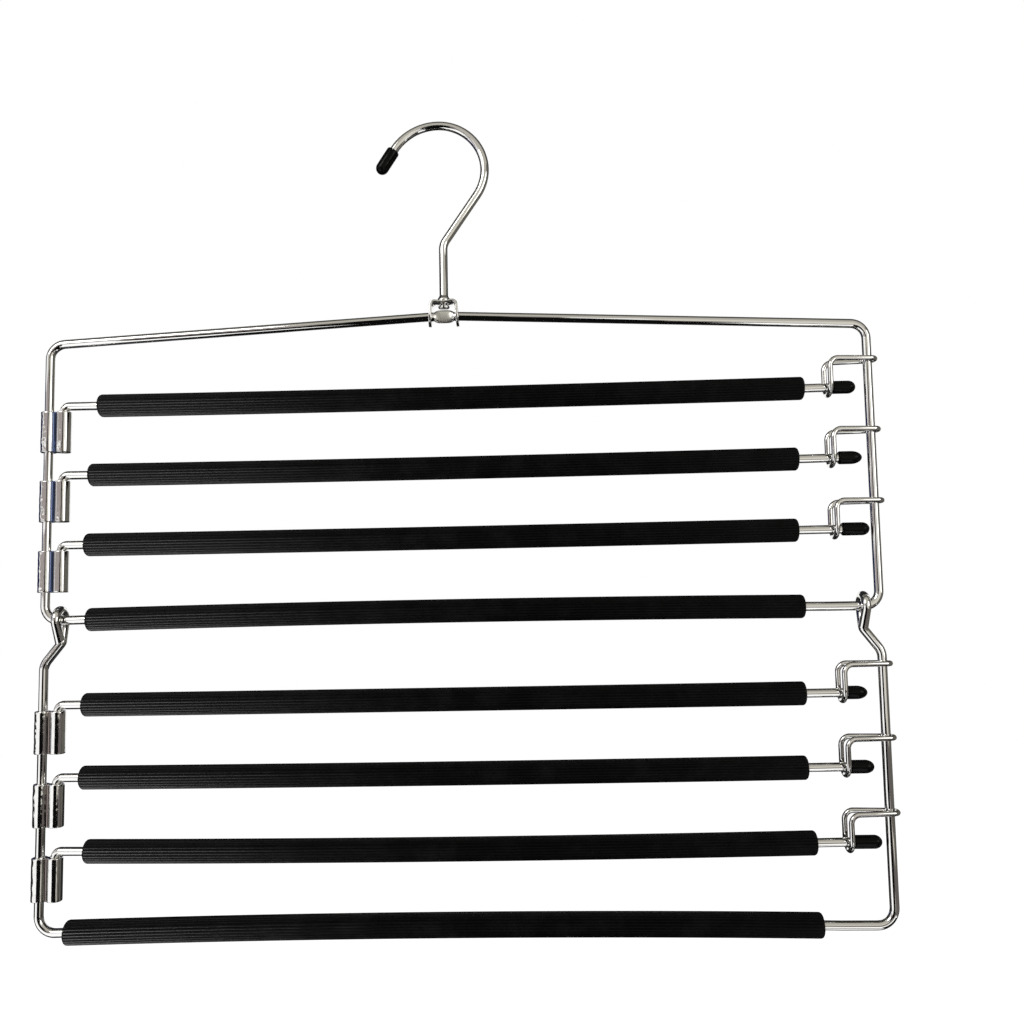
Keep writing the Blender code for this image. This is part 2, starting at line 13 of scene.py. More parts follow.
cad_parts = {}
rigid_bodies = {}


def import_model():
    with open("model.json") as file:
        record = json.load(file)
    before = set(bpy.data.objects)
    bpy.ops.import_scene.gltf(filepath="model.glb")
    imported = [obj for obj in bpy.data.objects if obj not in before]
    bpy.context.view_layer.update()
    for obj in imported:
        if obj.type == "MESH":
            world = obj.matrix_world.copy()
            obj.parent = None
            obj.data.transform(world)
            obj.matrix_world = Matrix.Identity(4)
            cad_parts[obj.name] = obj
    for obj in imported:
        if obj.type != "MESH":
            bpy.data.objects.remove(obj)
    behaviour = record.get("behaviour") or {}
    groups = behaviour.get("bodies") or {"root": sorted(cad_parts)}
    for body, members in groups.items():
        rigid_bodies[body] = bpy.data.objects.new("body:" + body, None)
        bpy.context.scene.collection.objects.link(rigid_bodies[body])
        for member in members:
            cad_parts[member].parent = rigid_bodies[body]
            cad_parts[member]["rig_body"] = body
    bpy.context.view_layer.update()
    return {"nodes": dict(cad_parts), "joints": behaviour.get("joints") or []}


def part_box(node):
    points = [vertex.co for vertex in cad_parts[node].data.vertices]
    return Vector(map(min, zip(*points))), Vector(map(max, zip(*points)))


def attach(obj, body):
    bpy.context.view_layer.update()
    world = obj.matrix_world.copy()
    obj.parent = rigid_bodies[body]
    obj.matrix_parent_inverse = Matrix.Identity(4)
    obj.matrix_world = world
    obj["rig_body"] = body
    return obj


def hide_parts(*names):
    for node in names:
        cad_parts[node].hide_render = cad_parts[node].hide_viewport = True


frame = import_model()

SWING_TIERS = (1, 2, 3, 5, 6, 7)
LINK_TIER = 4
BOTTOM_TIER = 8
FIXED_TIERS = (LINK_TIER, BOTTOM_TIER)

# Places that the frame's joints give
JOINT_PLACE = {joint["name"]: Vector(joint["pos_m"]) for joint in frame["joints"]}
PLATE_TOP = JOINT_PLACE["hook_swivel"].z
SHANK_X = JOINT_PLACE["hook_swivel"].x
PEAK_Z = JOINT_PLACE["yoke_tilt"].z
CENTRE_X = JOINT_PLACE["lower_fold"].x
PIVOT_X = JOINT_PLACE["bar_1_swing"].x
TIER_Z = {tier: JOINT_PLACE[f"bar_{tier}_swing"].z for tier in SWING_TIERS}
for fixed in FIXED_TIERS:
    low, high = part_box(f"foam_sleeve_{fixed}")
    TIER_Z[fixed] = (low.z + high.z) / 2
LINK_Z = TIER_Z[LINK_TIER]
BOTTOM_Z = TIER_Z[BOTTOM_TIER]

# Gauges, and the gap that the frame leaves between pieces
FRAME_WIRE = 0.0043
HOOK_WIRE = 0.0042
ROD_WIRE = 0.0041
KEEPER_WIRE = 0.0025
CLEARANCE = 0.0003

# Fineness of the meshes
WIRE_SIDES = 48
KEEPER_SIDES = 36
BEND_STEP = math.radians(5)
BEND_MIN_STEPS = 2
EDGE_STEPS = 4
MERGE_DISTANCE = 0.000005
WIRE_SHARP_ANGLE = math.radians(50)
SOLID_SHARP_ANGLE = math.radians(40)

# The frame's X axis, and the signs of a section's four corners in turn
X_AXIS = Vector((1, 0, 0))
CORNER_SIGNS = ((1, 1), (-1, 1), (-1, -1), (1, -1))

# Upper frame
FRAME_WIDTH = 0.396
LEFT = CENTRE_X - FRAME_WIDTH / 2
RIGHT = CENTRE_X + FRAME_WIDTH / 2
TOP_RISE = 0.009
TOP_CORNER_RADIUS = 0.0075
UPPER_BOTTOM_RADIUS = 0.007
LEAF_LENGTH = 0.0096
LEAF_HEIGHT = 0.0062
LEAF_THICKNESS = 0.0024
LEAF_FULLNESS = 4
LEAF_FLATNESS = 0.3
LEAF_STEPS = 36

# Lower frame
EYE_INSET = 0.0075
EYE_RING = 0.00475
EYE_NECK = 0.0023
EYE_NECK_DROP = 0.0104
EYE_STRAND_CROSS = 0.0013
NECK_BEND_RADIUS = 0.004
SHOULDER_DROP = 0.0211
SHOULDER_RADIUS = 0.008
LOWER_BOTTOM_RADIUS = 0.008
STRAND_MITRE = 0.45

# Hook
HOOK_RADIUS = 0.0229
NOSE_RADIUS = 0.026
HOOK_CENTRE = Vector((0, 0, HOOK_WIRE / 2 - HOOK_RADIUS))
NOSE_CENTRE = Vector((0, 0, HOOK_WIRE / 2 - NOSE_RADIUS))
NOSE_TURN = math.radians(57)
HOOK_TURN_START = math.radians(-34.5)
HOOK_ELBOW_RADIUS = 0.008
COLLAR_HEIGHT = 0.0032
NECK_DIAMETER = 0.0034
FOOT_HEIGHT = 0.0016
COLLAR_BULGE = 0.3
COLLAR_LUMPS = 0.0004
COLLAR_LUMP_REACH = 0.6
COLLAR_LUMP_SCALE = 420

# Riveted foot and upset collar from below: share of the height away from the plate, and width
FOOT_PROFILE = [(1, 0.0034), (0.94, 0.0044), (0.75, 0.0052), (0.45, 0.0056), (0.15, 0.0054), (0, 0.0048)]
COLLAR_PROFILE = [(0, 0.0054), (0.1, 0.006), (0.3, 0.0062), (0.5, 0.0059), (0.68, 0.0052), (0.84, 0.0046)]

# Yoke
YOKE_WIDTH = 0.0136
YOKE_FLARE = 0.0006
YOKE_DEPTH = 0.010
YOKE_TAB = YOKE_DEPTH / 2
YOKE_HEIGHT = 0.0069
YOKE_SHEET = 0.0013
YOKE_BEND_RADIUS = 0.002
YOKE_EDGE = 0.0004
YOKE_TIP_ANGLE = math.radians(84)
YOKE_TIP_STEPS = 14
YOKE_TIP_EDGE = 0.8
YOKE_CORNER_LIFT = {-1: 0.0007, 1: 0.001}
YOKE_DISH_SHARE = 0.35
YOKE_DISH_RADIUS = 0.004

# Pivot clips
CLIP_HEIGHT = 0.020
CLIP_SHEET = 0.0012
CLIP_GROOVE_RADIUS = 0.0009
CLIP_GROOVE_REACH = 0.0016
CLIP_EDGE = 0.00045
CLIP_SQUARENESS = 2.15
CLIP_EASE = math.radians(45)
CLIP_TOP_DROP = 0.0027
CLIP_LEVELS = 60
CLIP_STEP = math.radians(3)
CLIP_MIN_STEPS = 6
CLIP_BORE_GAP = CLEARANCE / 3
DENT_DEPTH = 0.00016
DENT_SCALE = 420
DENT_STRETCH = 0.8
DENT_SEED_STEP = 0.37
DENT_SIDE = math.radians(-132)
DENT_SPREAD = math.radians(42)
WIRE_BARREL = FRAME_WIRE / 2 + CLEARANCE + CLIP_SHEET
LEG_BARREL = ROD_WIRE / 2 + CLEARANCE + CLIP_SHEET
LEG_END_INSET = 0.001
ROD_BEND_RADIUS = 0.003

# Keepers
KEEPER_LEG_X = 0.1851
KEEPER_SPREAD = 0.011
KEEPER_RISE = 0.0132
KEEPER_BEND_RADIUS = 0.004
WELD_GAP = 0.00002

# How far each bar's middle hangs below its ends, or arches above them where it is negative
BAR_SAG = {1: 0.0006, 2: 0.0006, 3: 0.0003, 4: -0.0012, 5: 0.0002, 6: 0.0005, 7: 0.0011, 8: -0.002}
BOW_REACH = 0.009
RUN_STEPS = 24

# Foam sleeves
FLUTES = 24
FLUTE_DEPTH = 0.00055
FLUTE_ROUNDNESS = 0.7
FLUTE_ONSET = 0.4
FLUTE_POINTS = 10
SLEEVE_EDGE = 0.0015
SLEEVE_EDGE_STEPS = 7
SLEEVE_STATIONS = 24

# Vinyl caps
CAP_BORE_GAP = CLEARANCE / 2
CAP_WALL = 0.00075
CAP_END_WALL = 0.0015
CAP_LIP = 0.0011
CAP_LIP_STEPS = 8
CAP_SIDES = 48
CAP_NOSE_STEPS = 14
BAR_CAP_NOSE = {1: 0.0036, 2: 0.0052, 3: 0.0036, 5: 0.005, 6: 0.0042, 7: 0.0036}
HOOK_CAP_LENGTH = 0.0138
HOOK_CAP_NOSE = 0.0034

# Colours of the finishes
WIRE_BRIGHT = (0.95, 0.945, 0.93, 1)
WIRE_STREAK = (0.86, 0.855, 0.835, 1)
WIRE_PRESSED = (0.54, 0.53, 0.49, 1)
SHEET_BRIGHT = (0.92, 0.915, 0.90, 1)
SHEET_RUBBED = (0.82, 0.81, 0.79, 1)
# Painted reflection in the clips' grooves: navy on the upper clips, brown-grey on the lower ones
GROOVE_PAINTED_REFLECTION_NAVY = (0.10, 0.14, 0.27, 1)
GROOVE_PAINTED_REFLECTION_BROWN = (0.34, 0.29, 0.27, 1)
FOAM_BLACK = (0.0018, 0.0018, 0.0019, 1)
FOAM_BLOOM = (0.0042, 0.0042, 0.0044, 1)
VINYL_BLACK = (0.0018, 0.0018, 0.0018, 1)
VINYL_SCUFF = (0.004, 0.004, 0.004, 1)
FLOOR_GREY = (0.86, 0.86, 0.86, 1)

# Camera
CAMERA_PLACE = Vector((0.047107, -0.474989, -0.231709))
CAMERA_RIGHT = Vector((0.99934, 0.03088, -0.01888))
CAMERA_UP = Vector((0.02148, -0.08629, 0.99604))
CAMERA_FORWARD = Vector((-0.02913, 0.99579, 0.08690))
CAMERA_SENSOR = 36
CAMERA_LENS = 35.15625
CAMERA_NEAR = 0.01

# Studio
FLOOR_Z = -1.2
FLOOR_SIZE = 12
FLOOR_GLOW = 0.52
SOFT_LIGHT = 0.6
LAMP_TARGET = (0, 0, -0.22)

# Colours of the flags that the plating reflects
BEIGE = (0.48, 0.46, 0.41)
TAUPE = (0.13, 0.125, 0.11)
CREAM = (0.68, 0.65, 0.58)
OLIVE = (0.12, 0.115, 0.10)
NAVY = (0.014, 0.021, 0.065)
ROSY = (0.36, 0.32, 0.31)
UMBER = (0.13, 0.115, 0.11)
SLATE = (0.05, 0.05, 0.055)
SOOT = (0.02, 0.02, 0.02)
BLACK = (0.004, 0.004, 0.004)

# Where the large flags end or meet
FLAG_GAP = 0.01
FLAG_FLOOR = FLOOR_Z + FLAG_GAP
ROOM_REACH = 2.5
ROOM_TOP = 1.0
OVERHEAD_FRONT = -0.5
OVERHEAD_BACK = 0.2
BACK_REACH = 2
FLOOR_END = 0.9
FLOOR_STEP = 0.25
RIGHT_SIDE = 1.5
LEFT_SIDE = -1.3
SIDE_END = 1.3
SIDE_TOP = 0.9
BACK_CORNER = 0.45
BACK_Y = 1.6
FRONT_LOW = -1.15
BLACK_FRONT_Y = -0.9

# Flags for one clip each: label, sweep round it in degrees from the front, and colour
CLIP_FLAG_REACH = 0.6
CLIP_FLAG_MARGIN = 0.004
UPPER_CLIP_SWEEPS = [("rosy", (-65, 0), ROSY), ("navy", (-160, -75), NAVY)]
LOWER_CLIP_SWEEPS = {
    5: [("soot", (-165, -66), SOOT), ("black", (4, 36), BLACK), ("umber", (36, 78), UMBER)],
    6: [("soot", (-165, -66), SOOT), ("black", (-16, 50), BLACK), ("umber", (50, 90), UMBER)],
    7: [("soot", (-165, -72), SOOT), ("black", (-10, 98), BLACK)],
}


class Value:
    """One output in a node tree. Arithmetic on it adds Math nodes to the same tree."""

    def __init__(self, graph, socket):
        self.graph = graph
        self.socket = socket

    def __add__(self, other):
        return self.graph.math("ADD", self, other)

    def __sub__(self, other):
        return self.graph.math("SUBTRACT", self, other)

    def __mul__(self, other):
        return self.graph.math("MULTIPLY", self, other)

    def __truediv__(self, other):
        return self.graph.math("DIVIDE", self, other)

    def __pow__(self, other):
        return self.graph.math("POWER", self, other)

    __radd__ = __add__
    __rmul__ = __mul__


class Graph:
    """Adds nodes to one node tree."""

    def __init__(self, tree):
        self.tree = tree

    def node(self, kind, inputs=None, output=0, **settings):
        """Add a node, set it up, then link or fill its sockets. Returns one of its outputs."""
        made = self.tree.nodes.new(kind)
        for name, value in settings.items():
            setattr(made, name, value)
        self.fill(made, inputs or {})
        return Value(self, made.outputs[output]) if made.outputs else None

    def fill(self, made, inputs):
        for key, value in inputs.items():
            if isinstance(value, Value):
                self.tree.links.new(value.socket, made.inputs[key])
            else:
                made.inputs[key].default_value = value

    def math(self, operation, *values):
        return self.node("ShaderNodeMath", dict(enumerate(values)), operation=operation)

    def attribute(self, name, output="Fac"):
        """What each point of the mesh carries under a name."""
        return self.node("ShaderNodeAttribute", output=output, attribute_name=name)

    def object_place(self):
        return self.node("ShaderNodeTexCoord", output="Object")

    def noise(self, place, scale, detail, roughness=0.5):
        inputs = {"Vector": place, "Scale": scale, "Detail": detail, "Roughness": roughness}
        return self.node("ShaderNodeTexNoise", inputs)

    def smooth(self, value, low, high):
        """0 below low, 1 above high and eased between them."""
        inputs = {"Value": value, "From Min": low, "From Max": high}
        return self.node("ShaderNodeMapRange", inputs, interpolation_type="SMOOTHSTEP")

    def mix(self, factor, first, second):
        """Mix two colours, by the numbers of the sockets that are for colours."""
        return self.node("ShaderNodeMix", {0: factor, 6: first, 7: second}, 2, data_type="RGBA")


# Geometry Nodes

def new_tree(name, inputs):
    """A tree that takes a mesh and more named inputs, as its graph and each input's value by name."""
    tree = bpy.data.node_groups.new(name, "GeometryNodeTree")
    kinds = {"Geometry": "Geometry", **inputs}
    for label, kind in kinds.items():
        tree.interface.new_socket(label, in_out="INPUT", socket_type="NodeSocket" + kind)
    tree.interface.new_socket("Geometry", in_out="OUTPUT", socket_type="NodeSocketGeometry")
    graph = Graph(tree)
    entry = tree.nodes.new("NodeGroupInput")
    return graph, {label: Value(graph, entry.outputs[label]) for label in kinds}


def end_tree(graph, shape, finish):
    """Smooth the shape, make it real, give it its finish and hand it out."""
    smoothed = graph.node("GeometryNodeSetShadeSmooth", {"Geometry": shape})
    real = graph.node("GeometryNodeRealizeInstances", {"Geometry": smoothed})
    finished = graph.node("GeometryNodeSetMaterial", {"Geometry": real, "Material": finish})
    graph.node("NodeGroupOutput", {"Geometry": finished})
    return graph.tree


def drawn_wire_tree():
    """Sweeps a round section along a line of edges, as thick as the gauge that each point carries."""
    graph, given = new_tree("drawn_wire", {"Sides": "Int", "Finish": "Material"})
    path = graph.node("GeometryNodeMeshToCurve", {"Mesh": given["Geometry"]})
    length = graph.node("GeometryNodeSplineParameter", output="Length")
    path = graph.node("GeometryNodeStoreNamedAttribute",
                      {"Geometry": path, "Name": "along", "Value": length}, data_type="FLOAT")
    section = graph.node("GeometryNodeCurvePrimitiveCircle", {"Resolution": given["Sides"], "Radius": 1.0})
    place = graph.node("GeometryNodeInputPosition")
    section = graph.node("GeometryNodeStoreNamedAttribute",
                         {"Geometry": section, "Name": "around", "Value": place}, data_type="FLOAT_VECTOR")
    gauge = graph.node("GeometryNodeInputNamedAttribute", {"Name": "gauge"}, data_type="FLOAT")
    tube = graph.node("GeometryNodeCurveToMesh",
                      {"Curve": path, "Profile Curve": section, "Scale": gauge / 2, "Fill Caps": True})
    return end_tree(graph, tube, given["Finish"])


def fluted_sleeve_tree():
    """Sweeps a wall section round the bar, then draws grooves in along its outside."""
    graph, given = new_tree("fluted_sleeve", {
        "Middle": "Float",
        "Wall": "Float",
        "Flutes": "Int",
        "Flute depth": "Float",
        "Finish": "Material",
    })
    section = graph.node("GeometryNodeMeshToCurve", {"Mesh": given["Geometry"]})
    ring = graph.node("GeometryNodeCurvePrimitiveCircle",
                      {"Resolution": given["Flutes"] * FLUTE_POINTS, "Radius": given["Middle"]})
    tube = graph.node("GeometryNodeCurveToMesh", {"Curve": ring, "Profile Curve": section})

    place = graph.node("GeometryNodeInputPosition")
    x = graph.node("ShaderNodeSeparateXYZ", {"Vector": place}, "X")
    y = Value(graph, x.socket.node.outputs["Y"])
    turn = graph.math("ARCTAN2", y, x)
    radius = graph.math("SQRT", x * x + y * y)
    crest = graph.math("ABSOLUTE", graph.math("COSINE", turn * given["Flutes"] / 2))
    outside = graph.smooth(radius, given["Middle"], given["Middle"] + given["Wall"] * FLUTE_ONSET)
    inward = (crest ** FLUTE_ROUNDNESS - 1) * given["Flute depth"] * outside / radius
    shift = graph.node("ShaderNodeCombineXYZ", {"X": x * inward, "Y": y * inward})
    tube = graph.node("GeometryNodeSetPosition", {"Geometry": tube, "Offset": shift})
    return end_tree(graph, tube, given["Finish"])


def grown(name, start, tree, values):
    """The plain mesh that a tree makes of a starting mesh, with its named inputs set."""
    seed = add_object(name, start)
    modifier = seed.modifiers.new(tree.name, "NODES")
    modifier.node_group = tree
    for item in tree.interface.items_tree:
        if item.in_out == "INPUT" and item.name in values:
            modifier[item.identifier] = values[item.name]
    mesh = modified_mesh(name, seed)
    bpy.data.objects.remove(seed)
    bpy.data.meshes.remove(start)
    return mesh


# Mesh helpers

def add_object(name, data):
    """A new object of the scene that holds the data."""
    made = bpy.data.objects.new(name, data)
    bpy.context.collection.objects.link(made)
    return made


def modified_mesh(name, source):
    """The mesh that an object's modifiers make."""
    evaluated = source.evaluated_get(bpy.context.evaluated_depsgraph_get())
    mesh = bpy.data.meshes.new_from_object(evaluated)
    mesh.name = name
    return mesh


def bend_path(corners, closed=False):
    """Points along a bent wire. A corner is (x, y, z, bend radius), where 0 leaves it sharp."""
    places = [Vector(corner[:3]) for corner in corners]
    count = len(places)
    points = []
    for index, corner in enumerate(corners):
        radius = corner[3]
        inner = closed or 0 < index < count - 1
        if radius <= 0 or not inner:
            points.append(places[index])
            continue
        arriving = (places[index] - places[index - 1]).normalized()
        leaving = (places[(index + 1) % count] - places[index]).normalized()
        turn = arriving.angle(leaving)
        axis = arriving.cross(leaving).normalized()
        start = places[index] - arriving * radius * math.tan(turn / 2)
        centre = start + axis.cross(arriving) * radius
        steps = max(BEND_MIN_STEPS, math.ceil(turn / BEND_STEP))
        for step in range(steps + 1):
            points.append(centre + Matrix.Rotation(turn * step / steps, 3, axis) @ (start - centre))
    return drop_repeats(points, closed)


def drop_repeats(points, closed):
    """Leave out points that fall on the one before, as where two quarter bends meet."""
    kept = [points[0]]
    for point in points[1:]:
        if (point - kept[-1]).length > MERGE_DISTANCE:
            kept.append(point)
    if closed and (kept[0] - kept[-1]).length < MERGE_DISTANCE:
        kept.pop()
    return kept


def wire_mesh(name, points, gauges, finish, closed=False, sides=WIRE_SIDES):
    """A wire along points. gauges is one diameter, or one for each point."""
    count = len(points)
    edges = [(index, index + 1) for index in range(count - 1)]
    if closed:
        edges.append((count - 1, 0))
    start = bpy.data.meshes.new(name + "_path")
    start.from_pydata(points, edges, [])
    if isinstance(gauges, float):
        gauges = [gauges] * count
    start.attributes.new("gauge", "FLOAT", "POINT").data.foreach_set("value", gauges)
    mesh = grown(name, start, DRAWN_WIRE, {"Sides": sides, "Finish": finish})
    mesh.set_sharp_from_angle(angle=WIRE_SHARP_ANGLE)
    return mesh


def finish_mesh(name, shape, finish):
    """Turn a bmesh into a mesh with outward faces, smooth between its sharp edges."""
    bmesh.ops.remove_doubles(shape, verts=shape.verts, dist=MERGE_DISTANCE)
    bmesh.ops.recalc_face_normals(shape, faces=shape.faces)
    mesh = bpy.data.meshes.new(name)
    shape.to_mesh(mesh)
    shape.free()
    mesh.shade_smooth()
    mesh.set_sharp_from_angle(angle=SOLID_SHARP_ANGLE)
    mesh.materials.append(finish)
    return mesh


def turned_mesh(name, profile, finish, axis=X_AXIS):
    """A solid turned about an axis through the origin. profile holds (distance along, radius)."""
    turn = X_AXIS.rotation_difference(axis).to_matrix()
    shape = bmesh.new()
    loop = [shape.verts.new(turn @ Vector((along, 0, radius))) for along, radius in profile]
    edges = [shape.edges.new(pair) for pair in zip(loop, loop[1:])]
    bmesh.ops.spin(shape, geom=loop + edges, axis=axis, cent=(0, 0, 0), angle=2 * math.pi,
                   steps=CAP_SIDES, use_merge=True)
    return finish_mesh(name, shape, finish)


def join_rings(shape, rings):
    """Faces from each ring of vertices to the next. The rings are of one length."""
    size = len(rings[0])
    for near, far in zip(rings, rings[1:]):
        for side in range(size):
            after = (side + 1) % size
            shape.faces.new((near[side], near[after], far[after], far[side]))


def loft_mesh(name, rings, finish):
    """A closed solid through rings that have the same number of points."""
    shape = bmesh.new()
    loops = [[shape.verts.new(point) for point in ring] for ring in rings]
    join_rings(shape, loops)
    shape.faces.new(loops[0])
    shape.faces.new(loops[-1])
    return finish_mesh(name, shape, finish)


def add_piece(name, mesh, node):
    """Stand a finished mesh in for a node of the frame, on the node's body."""
    piece = add_object(name, mesh)
    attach(piece, frame["nodes"][node]["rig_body"])
    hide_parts(node)
    return piece


# Hook and its cap

def aim(angle):
    """A unit vector in the hook's plane, turned from +X up towards +Z."""
    return Vector((math.cos(angle), 0, math.sin(angle)))


def hook_arc(centre, radius, start, turn):
    """Points of an arc in the hook's plane, without its first one."""
    steps = math.ceil(turn / BEND_STEP)
    return [centre + radius * aim(start + turn * step / steps) for step in range(1, steps + 1)]


def hook_points():
    """Shank, elbow, main bend and nose of the hook, from the collar up to the tip inside its cap."""
    bend_start = HOOK_CENTRE + HOOK_RADIUS * aim(HOOK_TURN_START)
    slope = aim(HOOK_TURN_START - math.pi / 2)
    elbow = bend_start + slope * ((SHANK_X - bend_start.x) / slope.x)
    shank_top = (SHANK_X, 0, PLATE_TOP + CLEARANCE + COLLAR_HEIGHT, 0)
    points = bend_path([shank_top, (*elbow, HOOK_ELBOW_RADIUS), (*bend_start, 0)])
    points += hook_arc(HOOK_CENTRE, HOOK_RADIUS, HOOK_TURN_START, math.pi / 2 - HOOK_TURN_START)
    points += hook_arc(NOSE_CENTRE, NOSE_RADIUS, math.pi / 2, NOSE_TURN)
    points.append(points[-1] + nose_direction() * (HOOK_CAP_LENGTH - CAP_END_WALL - CLEARANCE))
    return points


def nose_direction():
    return aim(math.pi + NOSE_TURN)


def nose_end():
    """Where the nose runs straight and its cap starts."""
    return NOSE_CENTRE + NOSE_RADIUS * aim(math.pi / 2 + NOSE_TURN)


def foot_points():
    """Riveted foot, neck through the plate and upset collar, from below: (height, width)."""
    collar = PLATE_TOP + CLEARANCE
    foot = PLATE_TOP - YOKE_SHEET - CLEARANCE
    points = [(foot - FOOT_HEIGHT * share, width) for share, width in FOOT_PROFILE]
    points += [(foot, NECK_DIAMETER), (collar, NECK_DIAMETER)]
    points += [(collar + COLLAR_HEIGHT * share, width) for share, width in COLLAR_PROFILE]
    return points


def roughen_collar(mesh):
    """Give the upset collar its uneven, hammered swelling."""
    bulge = PLATE_TOP + CLEARANCE + COLLAR_HEIGHT * COLLAR_BULGE
    for vertex in mesh.vertices:
        height = abs(vertex.co.z - bulge) / COLLAR_HEIGHT
        outward = Vector((vertex.co.x - SHANK_X, vertex.co.y, 0))
        if height > COLLAR_LUMP_REACH or outward.length < NECK_DIAMETER / 2 + CLEARANCE:
            continue
        swelling = COLLAR_LUMPS * (1 - height / COLLAR_LUMP_REACH)
        vertex.co += outward.normalized() * swelling * noise.noise(vertex.co * COLLAR_LUMP_SCALE)


def add_hook():
    bend = hook_points()
    foot = foot_points()
    points = [Vector((SHANK_X, 0, height)) for height, width in foot] + bend
    gauges = [width for height, width in foot] + [HOOK_WIRE] * len(bend)
    mesh = wire_mesh("plated_hook", points, gauges, PLATED_WIRE)
    roughen_collar(mesh)
    add_piece("plated_hook", mesh, "hook")
    cap = cap_mesh("dipped_hook_tip", HOOK_WIRE, HOOK_CAP_LENGTH, HOOK_CAP_NOSE)
    turn = X_AXIS.rotation_difference(nose_direction()).to_matrix().to_4x4()
    cap.transform(Matrix.Translation(nose_end()) @ turn)
    add_piece("dipped_hook_tip", cap, "hook_tip_cap")


def cap_mesh(name, wire, length, nose):
    """A dipped cap along +X from its open mouth, with a rolled lip and a rounded nose."""
    bore = wire / 2 + CAP_BORE_GAP
    radius = wire / 2 + CLEARANCE + CAP_WALL
    profile = [(length - CAP_END_WALL, 0), (length - CAP_END_WALL, bore)]
    for step in range(CAP_LIP_STEPS):
        angle = math.pi / 2 * step / CAP_LIP_STEPS
        profile.append((CAP_LIP * (1 - math.cos(angle)), bore + (radius - bore) * math.sin(angle)))
    profile.append((CAP_LIP, radius))
    for step in range(CAP_NOSE_STEPS + 1):
        angle = math.pi / 2 * step / CAP_NOSE_STEPS
        profile.append((length - nose + nose * math.sin(angle), radius * math.cos(angle)))
    return turned_mesh(name, profile, DIPPED_VINYL)


# Yoke

def yoke_path():
    """Middle line of the folded strip, from one leg's end over the dished plate to the other's."""
    half = (YOKE_WIDTH - YOKE_SHEET) / 2
    top = YOKE_HEIGHT - YOKE_SHEET / 2
    flare = YOKE_FLARE / (top + YOKE_TAB)
    path = []
    for side in (1, -1):
        lift = YOKE_CORNER_LIFT[side]
        leg = []
        for step in range(YOKE_TIP_STEPS + 1):
            drop = YOKE_TAB * math.sin(YOKE_TIP_ANGLE * (1 - step / YOKE_TIP_STEPS))
            leg.append((side * (half + flare * (top + drop)), 0, -drop, 0))
        plate_end = half - 2 * YOKE_BEND_RADIUS
        corner = (side * half, 0, top + lift, YOKE_BEND_RADIUS)
        dish = (side * plate_end, 0, top + lift * YOKE_DISH_SHARE, YOKE_DISH_RADIUS)
        points = bend_path([*leg, corner, dish, (0, 0, top, 0)])
        path += points if side == 1 else list(reversed(points))[1:]
    return path


def yoke_rings():
    """Eased sections all along the folded strip, narrowing over its legs' rounded ends."""
    path = yoke_path()
    rings = []
    for index, point in enumerate(path):
        before = path[max(index - 1, 0)]
        after = path[min(index + 1, len(path) - 1)]
        along = (after - before).normalized()
        outward = Vector((along.z, 0, -along.x))
        depth = math.sqrt(YOKE_TAB ** 2 - min(point.z, 0) ** 2)
        rings.append(eased_section(point, outward, depth))
    return rings


def eased_section(point, outward, depth):
    """Section of the strip with its four long edges rounded off."""
    edge = min(YOKE_EDGE, depth * YOKE_TIP_EDGE)
    across = Vector((0, 1, 0))
    ring = []
    for turn, (thick, wide) in enumerate(CORNER_SIGNS):
        for step in range(EDGE_STEPS + 1):
            angle = math.pi / 2 * (turn + step / EDGE_STEPS)
            ring.append(point + outward * (thick * (YOKE_SHEET / 2 - edge) + edge * math.cos(angle))
                        + across * (wide * (depth - edge) + edge * math.sin(angle)))
    return ring


def drilled(name, mesh, holes):
    """The mesh with round holes cut through it. A hole is (radius, start, end, axis)."""
    piece = add_object(name, mesh)
    cutters = []
    for radius, start, end, axis in holes:
        outline = [(start, 0), (start, radius), (end, radius), (end, 0)]
        cutter = add_object("drill", turned_mesh("drill", outline, PLATED_SHEET, axis))
        modifier = piece.modifiers.new("hole", "BOOLEAN")
        modifier.operation = "DIFFERENCE"
        modifier.object = cutter
        cutters.append(cutter)
    done = modified_mesh(name, piece)
    for item in [piece] + cutters:
        bpy.data.objects.remove(item)
    done.set_sharp_from_angle(angle=SOLID_SHARP_ANGLE)
    return done


def add_yoke():
    mesh = loft_mesh("folded_yoke", yoke_rings(), PLATED_SHEET)
    mesh = drilled("folded_yoke", mesh, [
        (FRAME_WIRE / 2 + CLEARANCE, -YOKE_WIDTH, YOKE_WIDTH, X_AXIS),
        (NECK_DIAMETER / 2 + CLEARANCE, 0, 2 * YOKE_HEIGHT, Vector((0, 0, 1))),
    ])
    mesh.transform(Matrix.Translation((SHANK_X, 0, PEAK_Z)))
    add_piece("folded_yoke", mesh, "yoke")


# Frames

def press_leaf(mesh):
    """Press the top wire into a leaf between the yoke's legs, and mark how far it is pressed."""
    half = LEAF_LENGTH / 2
    pressed = mesh.attributes.new("pressed", "FLOAT", "POINT")
    for vertex in mesh.vertices:
        reach = abs(vertex.co.x - SHANK_X) / half
        height = vertex.co.z - PEAK_Z
        if reach >= 1 or abs(height) > FRAME_WIRE:
            continue
        amount = 1 - reach ** LEAF_FULLNESS
        across = min(abs(vertex.co.y) * 2 / FRAME_WIRE, 1)
        flat = math.copysign(across ** LEAF_FLATNESS * LEAF_THICKNESS / 2, vertex.co.y)
        vertex.co.y += (flat - vertex.co.y) * amount
        vertex.co.z += height * (LEAF_HEIGHT / FRAME_WIRE - 1) * amount
        pressed.data[vertex.index].value = amount


def bottom_bar(height, radius):
    """Corners of a frame's own bar, from left to right."""
    run = run_between(LEFT + radius, RIGHT - radius)
    return [(LEFT, 0, height, radius), *[(x, 0, height, 0) for x in run], (RIGHT, 0, height, radius)]


